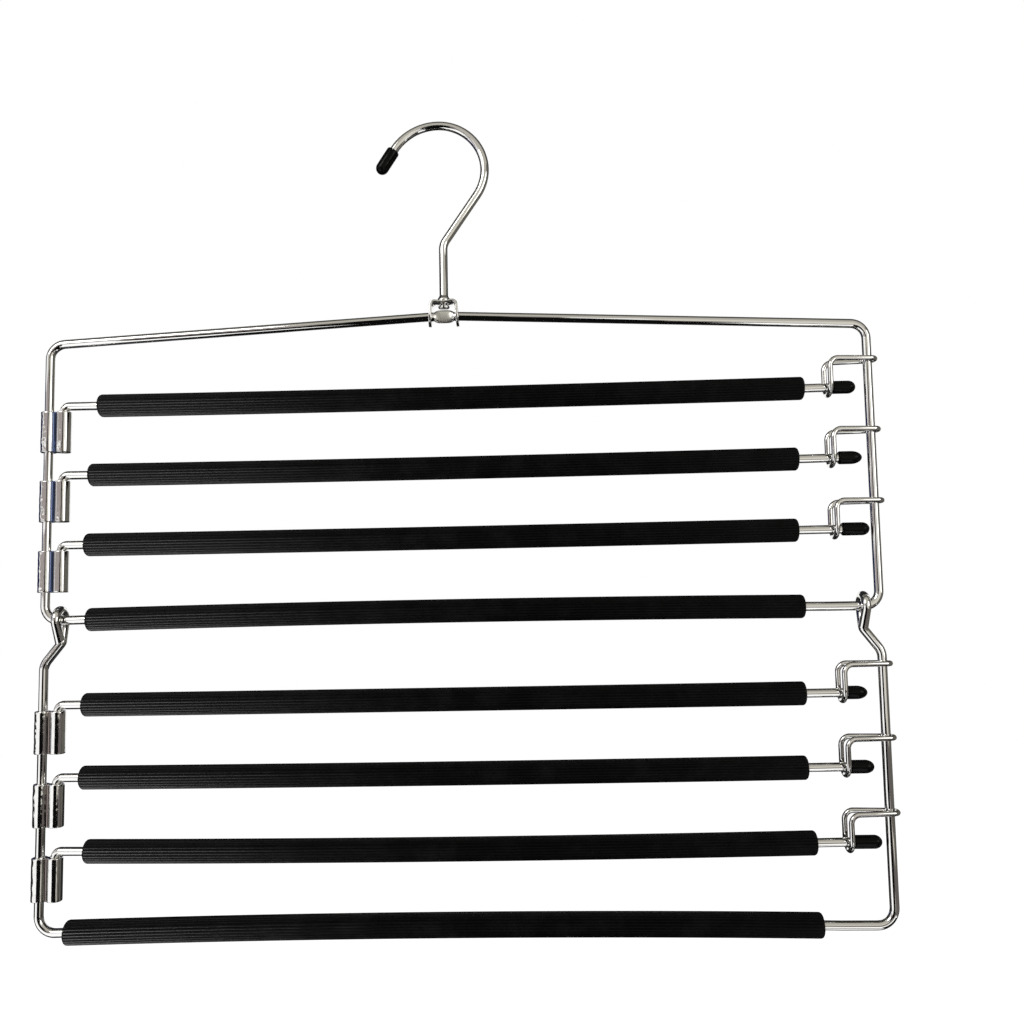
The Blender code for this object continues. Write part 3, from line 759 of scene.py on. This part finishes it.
def add_upper_frame():
    level = YOKE_WIDTH / 2 + YOKE_FLARE + CLEARANCE
    leaf = [LEAF_LENGTH * (step / LEAF_STEPS - 0.5) for step in range(LEAF_STEPS + 1)]
    corners = [(LEFT, 0, PEAK_Z - TOP_RISE, TOP_CORNER_RADIUS)]
    corners += [(SHANK_X + x, 0, PEAK_Z, 0) for x in (-level, *leaf, level)]
    corners += [(RIGHT, 0, PEAK_Z - TOP_RISE, TOP_CORNER_RADIUS)]
    corners += reversed(bottom_bar(LINK_Z, UPPER_BOTTOM_RADIUS))
    path = bend_path(corners, closed=True)
    mesh = wire_mesh("plated_upper_frame", path, FRAME_WIRE, PLATED_WIRE, closed=True)
    press_leaf(mesh)
    bow(mesh, LINK_TIER)
    add_piece("plated_upper_frame", mesh, "upper_frame")


def eye_points(side):
    """One end of the lower wire: over the fourth bar and down the back to the neck."""
    eye_x = CENTRE_X + side * (FRAME_WIDTH / 2 - EYE_INSET)
    reach = math.hypot(EYE_NECK, EYE_NECK_DROP)
    tangent = math.atan2(EYE_NECK_DROP, EYE_NECK) - math.acos(EYE_RING / reach)
    sweep = math.pi + 2 * tangent
    steps = math.ceil(sweep / BEND_STEP)
    points = [(eye_x - side * EYE_STRAND_CROSS, -EYE_NECK, LINK_Z - EYE_NECK_DROP, 0)]
    for step in range(steps + 1):
        angle = math.pi + tangent - sweep * step / steps
        points.append((eye_x, EYE_RING * math.cos(angle), LINK_Z + EYE_RING * math.sin(angle), 0))
    points.append((eye_x, EYE_NECK, LINK_Z - EYE_NECK_DROP, NECK_BEND_RADIUS))
    points.append((CENTRE_X + side * FRAME_WIDTH / 2, 0, LINK_Z - SHOULDER_DROP, SHOULDER_RADIUS))
    return points


def add_lower_frame():
    bar = bottom_bar(BOTTOM_Z, LOWER_BOTTOM_RADIUS)
    corners = eye_points(-1) + bar + list(reversed(eye_points(1)))
    mesh = wire_mesh("plated_lower_frame", bend_path(corners), FRAME_WIRE, PLATED_WIRE)
    mitre_strands(mesh)
    bow(mesh, BOTTOM_TIER)
    add_piece("plated_lower_frame", mesh, "lower_frame")


def mitre_strands(mesh):
    """Cut the front strand of each eye at a slant, along the wire that it is welded to."""
    end = LINK_Z - EYE_NECK_DROP
    for vertex in mesh.vertices:
        if vertex.co.y < -CLEARANCE / 2 and abs(vertex.co.z - end) < FRAME_WIRE / 4:
            side = math.copysign(1, vertex.co.x - CENTRE_X)
            eye_x = CENTRE_X + side * (FRAME_WIDTH / 2 - EYE_INSET - EYE_STRAND_CROSS)
            if abs(vertex.co.x - eye_x) <= FRAME_WIRE / 2 + CLEARANCE:
                vertex.co.z -= side * (vertex.co.x - eye_x) * STRAND_MITRE


# Pivot clips and keepers

def arc(centre, radius, start, end):
    """Points of an arc without its last one, which the next stretch begins with."""
    steps = max(CLIP_MIN_STEPS, math.ceil(abs(end - start) / CLIP_STEP))
    angles = [start + (end - start) * step / steps for step in range(steps)]
    return [(centre[0] + radius * math.cos(a), centre[1] + radius * math.sin(a)) for a in angles]


def clip_outline():
    """Round the wire barrel and the leg barrel, with a groove between them front and back."""
    spacing = WIRE_BARREL + LEG_BARREL
    near = WIRE_BARREL + CLIP_GROOVE_RADIUS
    far = LEG_BARREL + CLIP_GROOVE_RADIUS
    groove_x = (spacing * spacing + near * near - far * far) / (2 * spacing)
    groove_y = math.sqrt(near * near - groove_x * groove_x)
    wire_end = math.atan2(groove_y, groove_x)
    leg_end = math.pi - math.atan2(groove_y, spacing - groove_x)
    outline = squared(arc((0, 0), WIRE_BARREL, wire_end, 2 * math.pi - wire_end), 0, wire_end, 1)
    outline += arc((groove_x, -groove_y), CLIP_GROOVE_RADIUS, math.pi - wire_end, math.pi - leg_end)
    outline += squared(arc((spacing, 0), LEG_BARREL, -leg_end, leg_end), spacing, math.pi - leg_end, -1)
    outline += arc((groove_x, groove_y), CLIP_GROOVE_RADIUS, leg_end - math.pi, wire_end - math.pi)
    return [Vector(point) for point in outline]


def squared(points, centre, groove_angle, groove_side):
    """Fill out a barrel's round towards a square, as pressed sheet has it, easing off at the groove."""
    filled = []
    for x, y in points:
        angle = abs(math.atan2(y, groove_side * (x - centre)))
        ease = min(max((angle - groove_angle) / CLIP_EASE, 0), 1)
        corner = abs(math.cos(angle)) ** CLIP_SQUARENESS + abs(math.sin(angle)) ** CLIP_SQUARENESS
        swell = 1 + (corner ** (-1 / CLIP_SQUARENESS) - 1) * ease * ease * (3 - 2 * ease)
        filled.append((centre + (x - centre) * swell, y * swell))
    return filled


def dent(place, height, seed):
    """How deep the closing tool has bitten here: ragged marks down the wire barrel's outer front."""
    aside = abs(math.atan2(place.y, place.x) - DENT_SIDE) / DENT_SPREAD
    if aside >= 1:
        return 0
    bite = noise.noise(Vector((place.x * DENT_STRETCH, height, seed * DENT_SEED_STEP)) * DENT_SCALE)
    return DENT_DEPTH * (1 - aside * aside) * bite


def clip_levels():
    """Heights up a clip, each with how far the eased ends draw its outside in there."""
    lower = []
    for step in range(EDGE_STEPS + 1):
        angle = math.pi / 2 * step / EDGE_STEPS
        lower.append((CLIP_EDGE * (1 - math.cos(angle)), CLIP_EDGE * (1 - math.sin(angle))))
    straight = CLIP_HEIGHT - 2 * CLIP_EDGE
    middle = [(CLIP_EDGE + straight * step / CLIP_LEVELS, 0) for step in range(1, CLIP_LEVELS)]
    upper = [(CLIP_HEIGHT - height, inset) for height, inset in reversed(lower)]
    return lower + middle + upper


def clip_outside(shape, tier):
    """Rings of vertices up the dented outside of a clip."""
    outline = clip_outline()
    size = len(outline)
    normals = []
    for index in range(size):
        along = outline[(index + 1) % size] - outline[index - 1]
        normals.append(Vector((along.y, -along.x)).normalized())
    rings = []
    for height, inset in clip_levels():
        ring = []
        for place, normal in zip(outline, normals):
            spot = place - normal * (inset + dent(place, height, tier))
            ring.append(shape.verts.new((spot.x, spot.y, height)))
        rings.append(ring)
    return rings


def fill_end(shape, loops):
    """Close one end of a clip between its bores and its outside."""
    edges = []
    for loop in loops:
        for index in range(len(loop)):
            pair = (loop[index - 1], loop[index])
            edges.append(shape.edges.get(pair) or shape.edges.new(pair))
    bmesh.ops.triangle_fill(shape, edges=edges, use_beauty=True)


def clip_mesh(name, tier):
    """A folded double barrel, standing on its lower end with the wire barrel on its origin."""
    shape = bmesh.new()
    outside = clip_outside(shape, tier)
    walls = []
    for centre, wire in ((0, FRAME_WIRE), (WIRE_BARREL + LEG_BARREL, ROD_WIRE)):
        bore = arc((centre, 0), wire / 2 + CLIP_BORE_GAP, 0, 2 * math.pi)
        walls.append([[shape.verts.new((x, y, height)) for x, y in bore] for height in (0, CLIP_HEIGHT)])
    walls.append(outside)
    for rings in walls:
        join_rings(shape, rings)
    for end in (0, -1):
        fill_end(shape, [rings[end] for rings in walls])
    mesh = finish_mesh(name, shape, PLATED_SHEET)
    # Painted reflection in the groove: navy on clips above the fourth bar, brown-grey on those below it
    mark_painted_groove_reflection(mesh, 1 if tier < LINK_TIER else -1)
    return mesh


def mark_painted_groove_reflection(mesh, painted_colour_sign):
    """Mark how near each point is to the groove, signed for the painted reflection it gets there: plus for
    navy, minus for brown-grey.
    """
    groove = mesh.attributes.new("groove", "FLOAT", "POINT")
    for vertex in mesh.vertices:
        near = 1 - abs(vertex.co.x - WIRE_BARREL) / CLIP_GROOVE_REACH
        groove.data[vertex.index].value = painted_colour_sign * max(near, 0)


def keeper_path():
    """Closed loop from under the bar, up, out round the side wire and back. Origin on the bar axis."""
    reach = RIGHT - KEEPER_LEG_X
    half = KEEPER_SPREAD / 2
    wrap = (FRAME_WIRE + KEEPER_WIRE) / 2 + WELD_GAP
    seat = -(ROD_WIRE / 2 + CLEARANCE + KEEPER_WIRE / 2)
    inward = math.acos(wrap / math.hypot(half, reach)) - math.atan2(reach, half)
    wrap_end = math.pi / 2 - inward
    wrap_steps = math.ceil(2 * wrap_end / BEND_STEP)
    corners = [(0, half, seat, half), (0, -half, seat, half)]
    corners += [(0, -half, KEEPER_RISE, KEEPER_BEND_RADIUS)]
    for step in range(wrap_steps + 1):
        angle = wrap_end * (2 * step / wrap_steps - 1)
        corners.append((reach + wrap * math.cos(angle), wrap * math.sin(angle), KEEPER_RISE, 0))
    corners += [(0, half, KEEPER_RISE, KEEPER_BEND_RADIUS)]
    return bend_path(corners, closed=True)


def add_tier_hardware(tier):
    """The pivot clip and the keeper that one swing bar works in."""
    name = f"crimped_clip_{tier}"
    clip = clip_mesh(name, tier)
    clip.transform(Matrix.Translation((LEFT, 0, TIER_Z[tier] - CLIP_TOP_DROP - CLIP_HEIGHT)))
    add_piece(name, clip, f"pivot_clip_{tier}")
    name = f"plated_keeper_{tier}"
    keeper = wire_mesh(name, keeper_path(), KEEPER_WIRE, PLATED_WIRE, closed=True, sides=KEEPER_SIDES)
    keeper.transform(Matrix.Translation((KEEPER_LEG_X, 0, TIER_Z[tier])))
    add_piece(name, keeper, f"keeper_{tier}")


# Bars, sleeves and end caps

def bow(mesh, tier):
    """Let a bar's run hang, or arch up, by a little in its middle."""
    middle = (PIVOT_X + KEEPER_LEG_X) / 2
    half = KEEPER_LEG_X - middle
    for vertex in mesh.vertices:
        reach = (vertex.co.x - middle) / half
        if abs(reach) < 1 and abs(vertex.co.z - TIER_Z[tier]) < BOW_REACH:
            vertex.co.z -= BAR_SAG[tier] * (1 - reach * reach)


def run_between(first, second):
    """Points along a straight run of wire that is going to be bowed."""
    steps = [step / RUN_STEPS for step in range(1, RUN_STEPS)]
    return [first + (second - first) * step for step in steps]


def add_swing_bar(tier):
    leg_end = -(CLIP_TOP_DROP + CLIP_HEIGHT - LEG_END_INSET)
    mouth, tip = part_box(f"bar_end_cap_{tier}")
    rod_end = tip.x - CAP_END_WALL - CLEARANCE - PIVOT_X
    corners = [(0, 0, leg_end, 0), (0, 0, 0, ROD_BEND_RADIUS)]
    corners += [(x, 0, 0, 0) for x in run_between(ROD_BEND_RADIUS, rod_end)]
    path = bend_path(corners + [(rod_end, 0, 0, 0)])
    rod = wire_mesh(f"plated_bar_{tier}", path, ROD_WIRE, PLATED_WIRE)
    rod.transform(Matrix.Translation((PIVOT_X, 0, TIER_Z[tier])))
    bow(rod, tier)
    add_piece(f"plated_bar_{tier}", rod, f"swing_bar_{tier}")
    cap = cap_mesh(f"dipped_bar_end_{tier}", ROD_WIRE, tip.x - mouth.x, BAR_CAP_NOSE[tier])
    cap.transform(Matrix.Translation((mouth.x, 0, TIER_Z[tier])))
    add_piece(f"dipped_bar_end_{tier}", cap, f"bar_end_cap_{tier}")


def wall_section(name, length, wall):
    """The sleeve's wall as a closed loop of edges: across the wall along X, along the bar along Y."""
    across = wall / 2 - SLEEVE_EDGE
    along = length / 2 - SLEEVE_EDGE
    points = []
    for turn, (side, end) in enumerate(CORNER_SIGNS):
        for step in range(SLEEVE_EDGE_STEPS + 1):
            angle = math.pi / 2 * (turn + step / SLEEVE_EDGE_STEPS)
            reach = end * along + SLEEVE_EDGE * math.sin(angle)
            points.append((side * across + SLEEVE_EDGE * math.cos(angle), reach, 0))
        if turn % 2:
            run = [along * (2 * step / SLEEVE_STATIONS - 1) for step in range(1, SLEEVE_STATIONS)]
            points += [(side * wall / 2, side * place, 0) for place in run]
    section = bpy.data.meshes.new(name + "_section")
    section.from_pydata(points, [(index, (index + 1) % len(points)) for index in range(len(points))], [])
    return section


def add_sleeve(tier, wire):
    """One bar's foam sleeve, fluted finely, rounded at its ends and bowed like the bar."""
    node = f"foam_sleeve_{tier}"
    name = f"fluted_sleeve_{tier}"
    low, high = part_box(node)
    bore = wire + CLEARANCE
    wall = (high.z - low.z - bore) / 2
    mesh = grown(name, wall_section(name, high.x - low.x, wall), FLUTED_SLEEVE, {
        "Middle": (bore + wall) / 2,
        "Wall": wall,
        "Flutes": FLUTES,
        "Flute depth": FLUTE_DEPTH,
        "Finish": RIBBED_FOAM,
    })
    lay = Matrix.Rotation(math.pi / 2, 4, "Y")
    mesh.transform(Matrix.Translation((low + high) / 2) @ lay)
    bow(mesh, tier)
    sleeve = add_piece(name, mesh, node)
    return sleeve


# Finishes

def new_finish(name, constants):
    """A material, its graph and its main shader, with the shader's constant values set."""
    material = bpy.data.materials.new(name)
    material.use_nodes = True
    shader = material.node_tree.nodes["Principled BSDF"]
    for socket, value in constants.items():
        shader.inputs[socket].default_value = value
    return material, Graph(material.node_tree), shader


def coat(graph, shader, tone, roughness, relief, depth, strength):
    """Give a shader its colour, its roughness and a fine relief."""
    bump = graph.node("ShaderNodeBump", {"Height": relief, "Distance": depth, "Strength": strength})
    graph.fill(shader, {"Base Color": tone, "Roughness": roughness, "Normal": bump})


def wire_noise(graph, lengthwise, crosswise, detail):
    """Noise that follows a wire, with one scale along it and another across it."""
    run = graph.node("ShaderNodeCombineXYZ", {"Z": graph.attribute("along") * lengthwise})
    around = graph.attribute("around", "Vector")
    place = graph.node("ShaderNodeVectorMath", {0: around, 1: (crosswise, crosswise, 0), 2: run},
                       operation="MULTIPLY_ADD")
    return graph.noise(place, scale=1, detail=detail)


def plated_wire():
    """Bright plating on drawn wire: fine lengthwise draw lines, a slight waver, satin where pressed."""
    material, graph, shader = new_finish("plated_wire", {"Metallic": 1.0})
    streaks = wire_noise(graph, lengthwise=12, crosswise=5, detail=3)
    waver = wire_noise(graph, lengthwise=24, crosswise=0.5, detail=2)
    grain = graph.noise(graph.object_place(), scale=2600, detail=2)
    pressed = graph.attribute("pressed")
    tone = graph.mix(streaks, WIRE_STREAK, WIRE_BRIGHT)
    tone = graph.mix(pressed, tone, WIRE_PRESSED)
    roughness = 0.03 + 0.05 * streaks + pressed * (0.22 + 0.2 * grain)
    relief = waver + pressed * grain * 0.3
    coat(graph, shader, tone, roughness, relief, depth=0.0003, strength=0.014)
    return material


def plated_sheet():
    """The same plating on folded sheet: soft dents, rubbed patches and a painted reflection in the clips'
    grooves.
    """
    material, graph, shader = new_finish("plated_sheet", {"Metallic": 1.0})
    place = graph.object_place()
    dents = graph.noise(place, scale=150, detail=2)
    rub = graph.noise(place, scale=420, detail=4, roughness=0.6)
    worn = graph.smooth(rub, low=0.45, high=0.7)
    groove = graph.attribute("groove")
    tone = graph.mix(worn, SHEET_BRIGHT, SHEET_RUBBED)
    # Painted reflection: the grooves go navy on the upper clips and brown-grey on the lower ones
    tone = graph.mix(graph.smooth(groove, low=0, high=0.7), tone, GROOVE_PAINTED_REFLECTION_NAVY)
    tone = graph.mix(graph.smooth(groove * -1, low=0, high=0.9), tone, GROOVE_PAINTED_REFLECTION_BROWN)
    roughness = 0.05 + 0.1 * worn
    coat(graph, shader, tone, roughness, dents, depth=0.0004, strength=0.3)
    return material


def ribbed_foam():
    """Dull black closed-cell foam: fine cells, and a paler rubbed bloom in patches."""
    material, graph, shader = new_finish("ribbed_foam", {"Specular IOR Level": 0.08})
    place = graph.object_place()
    cells = graph.node("ShaderNodeTexVoronoi", {"Vector": place, "Scale": 2200}, "Distance")
    bloom = graph.noise(place, scale=90, detail=3, roughness=0.6)
    speckle = graph.noise(place, scale=900, detail=2)
    worn = graph.smooth(bloom * 0.7 + speckle * 0.3, low=0.4, high=0.7)
    tone = graph.mix(worn, FOAM_BLACK, FOAM_BLOOM)
    roughness = 0.28 + 0.08 * worn
    coat(graph, shader, tone, roughness, cells, depth=0.0002, strength=0.06)
    return material


def dipped_vinyl():
    """Glossy black vinyl with light scuffs and the faint unevenness of a dipped skin."""
    material, graph, shader = new_finish("dipped_vinyl", {"Specular IOR Level": 0.1})
    place = graph.object_place()
    flow = graph.noise(place, scale=260, detail=2)
    rub = graph.noise(place, scale=1300, detail=3, roughness=0.6)
    scuff = graph.smooth(rub, low=0.5, high=0.75)
    tone = graph.mix(scuff, VINYL_BLACK, VINYL_SCUFF)
    roughness = 0.12 + 0.18 * scuff
    coat(graph, shader, tone, roughness, flow, depth=0.0006, strength=0.25)
    return material


# Studio

def add_camera():
    camera = add_object("camera", bpy.data.cameras.new("camera"))
    camera.data.sensor_width = CAMERA_SENSOR
    camera.data.lens = CAMERA_LENS
    camera.data.clip_start = CAMERA_NEAR
    turn = Matrix((CAMERA_RIGHT, CAMERA_UP, -CAMERA_FORWARD)).transposed()
    camera.matrix_world = Matrix.Translation(CAMERA_PLACE) @ turn.to_4x4()
    bpy.context.scene.camera = camera


def seen_directly(graph):
    """1 for a ray from the camera or off a shiny face, 0 for one that only carries light."""
    camera = graph.node("ShaderNodeLightPath", output="Is Camera Ray")
    return camera + Value(graph, camera.socket.node.outputs["Is Glossy Ray"])


def light_world():
    """White to the camera and in reflections, and a plain level of soft light everywhere else."""
    world = bpy.data.worlds.new("white_studio")
    bpy.context.scene.world = world
    world.use_nodes = True
    graph = Graph(world.node_tree)
    strength = SOFT_LIGHT + (1 - SOFT_LIGHT) * seen_directly(graph)
    graph.fill(world.node_tree.nodes["Background"], {"Color": (1, 1, 1, 1), "Strength": strength})


def add_area_light(name, place, target, size, power):
    light = bpy.data.lights.new(name, "AREA")
    light.shape = "DISK"
    light.size = size
    light.energy = power
    lamp = add_object(name, light)
    lamp.location = place
    lamp.rotation_euler = (Vector(target) - Vector(place)).to_track_quat("-Z", "Y").to_euler()
    return lamp


def flat_colour(name, colour):
    """A plain emitting colour for the flags that the plating reflects."""
    material, graph, shader = new_finish(name, {})
    graph.tree.nodes.remove(shader)
    glow = graph.node("ShaderNodeEmission", {"Color": (*colour, 1)})
    graph.fill(graph.tree.nodes["Material Output"], {"Surface": glow})
    material.cycles.emission_sampling = "NONE"
    return material


def add_flag(name, corners, colour):
    """A studio flag: seen only in reflections, and casting no shadow."""
    mesh = bpy.data.meshes.new(name)
    mesh.from_pydata(corners, [], [tuple(range(len(corners)))])
    mesh.materials.append(flat_colour(name, colour))
    flag = add_object(name, mesh)
    flag.visible_camera = False
    flag.visible_diffuse = False
    flag.visible_shadow = False
    flag.visible_transmission = False


def add_wall(name, first, second, low, high, colour):
    """An upright flag between two places on the floor plan."""
    add_flag(name, [(*first, low), (*second, low), (*second, high), (*first, high)], colour)


def add_level(name, near, far, height, colour):
    """A flag that lies level between two corners."""
    corners = [near, (far[0], near[1]), far, (near[0], far[1])]
    add_flag(name, [(*corner, height) for corner in corners], colour)


def add_slope(name, front, back, colour):
    """A flag right across the back between two level edges, each (y, z)."""
    corners = [(-BACK_REACH, *front), (BACK_REACH, *front), (BACK_REACH, *back), (-BACK_REACH, *back)]
    add_flag(name, corners, colour)


def add_clip_flags(tier):
    """Flags that show in one clip alone, between the reflected lines of sight to its two ends."""
    reach = CLIP_FLAG_REACH
    top = TIER_Z[tier] - CLIP_TOP_DROP + CLIP_FLAG_MARGIN
    ends = []
    for height in (top - CLIP_HEIGHT - 2 * CLIP_FLAG_MARGIN, top):
        ends.append(height - (CAMERA_PLACE.z - height) / -CAMERA_PLACE.y * reach)
    for label, sweep, colour in LOWER_CLIP_SWEEPS.get(tier, UPPER_CLIP_SWEEPS):
        spots = []
        for angle in sweep:
            turn = math.radians(angle)
            spots.append((LEFT + reach * math.sin(turn), -reach * math.cos(turn)))
        add_wall(f"{label}_clip_{tier}", *spots, *ends, colour)


def add_flags():
    """What the plating reflects: a beige room, a bright left front, grey and dark sides, a dark middle."""
    add_level("room_ceiling", (-ROOM_REACH, -ROOM_REACH), (ROOM_REACH, OVERHEAD_FRONT), ROOM_TOP, BEIGE)
    add_level("room_overhead", (-ROOM_REACH, OVERHEAD_FRONT), (ROOM_REACH, OVERHEAD_BACK), ROOM_TOP, TAUPE)
    add_slope("soot_back_top", (OVERHEAD_BACK, ROOM_TOP), (1.4, 0.45), SOOT)
    add_level("slate_back_floor", (-BACK_REACH, -0.28), (FLOOR_STEP, FLOOR_END), FLAG_FLOOR, SLATE)
    add_level("slate_back_floor_right", (FLOOR_STEP, 0.02), (BACK_REACH, FLOOR_END), FLAG_FLOOR, SLATE)
    add_slope("soot_back_low", (FLOOR_END, FLAG_FLOOR), (1.5, -0.5), SOOT)
    add_wall("room_front", (-ROOM_REACH, -ROOM_REACH), (ROOM_REACH, -ROOM_REACH), 0.35, ROOM_TOP, BEIGE)
    add_wall("cream_right", (0.25, -1.6), (2.2, -1.6), FLOOR_Z, 0.4, CREAM)
    add_wall("olive_right", (RIGHT_SIDE, -1.2), (RIGHT_SIDE, SIDE_END), FLOOR_Z, SIDE_TOP, OLIVE)
    add_wall("olive_right_back", (RIGHT_SIDE, SIDE_END), (BACK_CORNER, BACK_Y), FLOOR_Z, SIDE_TOP, OLIVE)
    add_wall("slate_left", (LEFT_SIDE, -0.15), (LEFT_SIDE, SIDE_END), FLOOR_Z, SIDE_TOP, SLATE)
    add_wall("slate_left_back", (LEFT_SIDE, SIDE_END), (-BACK_CORNER, BACK_Y), FLOOR_Z, SIDE_TOP, SLATE)
    front = [(-0.5, -0.3), (-0.25, -0.2), (0.1, -0.2), (0.2, -0.45), (0.2, FRONT_LOW), (-0.6, FRONT_LOW)]
    add_flag("black_front", [(x, BLACK_FRONT_Y, z) for x, z in front], BLACK)
    add_wall("black_front_middle", (-0.2, -0.86), (0.0, -0.86), -0.45, 0.09, BLACK)
    add_wall("umber_front", (-0.5, -0.92), (0.08, -0.92), -0.36, 0.08, UMBER)
    add_wall("black_near_front", (-0.2, -0.5), (0.25, -0.5), FRONT_LOW, -0.45, BLACK)
    add_level("black_floor_right", (0.6, -0.9), (1.4, 0.2), FLAG_FLOOR, BLACK)
    under = [(-0.38, -0.52), (0.3, -0.52), (0.36, 0.9), (-0.5, 0.9)]
    add_flag("black_under_top", [(*corner, FLAG_FLOOR + FLAG_GAP) for corner in under], BLACK)
    for tier in SWING_TIERS:
        add_clip_flags(tier)


def add_floor():
    """A plain pale floor well below the hanging object: white to the camera, keeping the shadow."""
    half = FLOOR_SIZE / 2
    mesh = bpy.data.meshes.new("floor")
    corners = [(-half, -half), (half, -half), (half, half), (-half, half)]
    mesh.from_pydata([(*corner, FLOOR_Z) for corner in corners], [], [(0, 1, 2, 3)])
    material, graph, shader = new_finish("pale_floor", {
        "Base Color": FLOOR_GREY,
        "Roughness": 0.9,
        "Specular IOR Level": 0.0,
        "Emission Strength": 1.0,
    })
    glow = seen_directly(graph) * FLOOR_GLOW
    white = graph.node("ShaderNodeCombineXYZ", {"X": glow, "Y": glow, "Z": glow})
    graph.fill(shader, {"Emission Color": white})
    material.cycles.emission_sampling = "NONE"
    mesh.materials.append(material)
    floor = add_object("floor", mesh)


def add_kicker(sleeves):
    """A low lamp that rakes the sleeves' flutes and lights nothing else."""
    kicker = add_area_light("kicker", place=(-0.6, -0.42, -0.95), target=(-0.15, 0, -0.25),
                            size=0.5, power=17)
    kicker.visible_diffuse = False
    lit = bpy.data.collections.new("kicker_lit")
    for sleeve in sleeves:
        lit.objects.link(sleeve)
    kicker.light_linking.receiver_collection = lit


def build_studio():
    bpy.context.scene.view_settings.view_transform = "Standard"
    add_camera()
    light_world()
    add_area_light("key", place=(-0.9, -1.2, 0.7), target=LAMP_TARGET, size=0.9, power=9)
    add_area_light("fill", place=(1.3, -1.0, 0.1), target=LAMP_TARGET, size=0.9, power=4)
    add_flags()
    add_floor()


def build_hanger():
    """All the pieces. Returns the sleeves."""
    add_hook()
    add_yoke()
    add_upper_frame()
    add_lower_frame()
    sleeves = []
    for tier in SWING_TIERS:
        add_tier_hardware(tier)
        add_swing_bar(tier)
        sleeves.append(add_sleeve(tier, ROD_WIRE))
    for tier in FIXED_TIERS:
        sleeves.append(add_sleeve(tier, FRAME_WIRE))
    return sleeves


DRAWN_WIRE = drawn_wire_tree()
FLUTED_SLEEVE = fluted_sleeve_tree()
PLATED_WIRE = plated_wire()
PLATED_SHEET = plated_sheet()
RIBBED_FOAM = ribbed_foam()
DIPPED_VINYL = dipped_vinyl()

build_studio()
add_kicker(build_hanger())
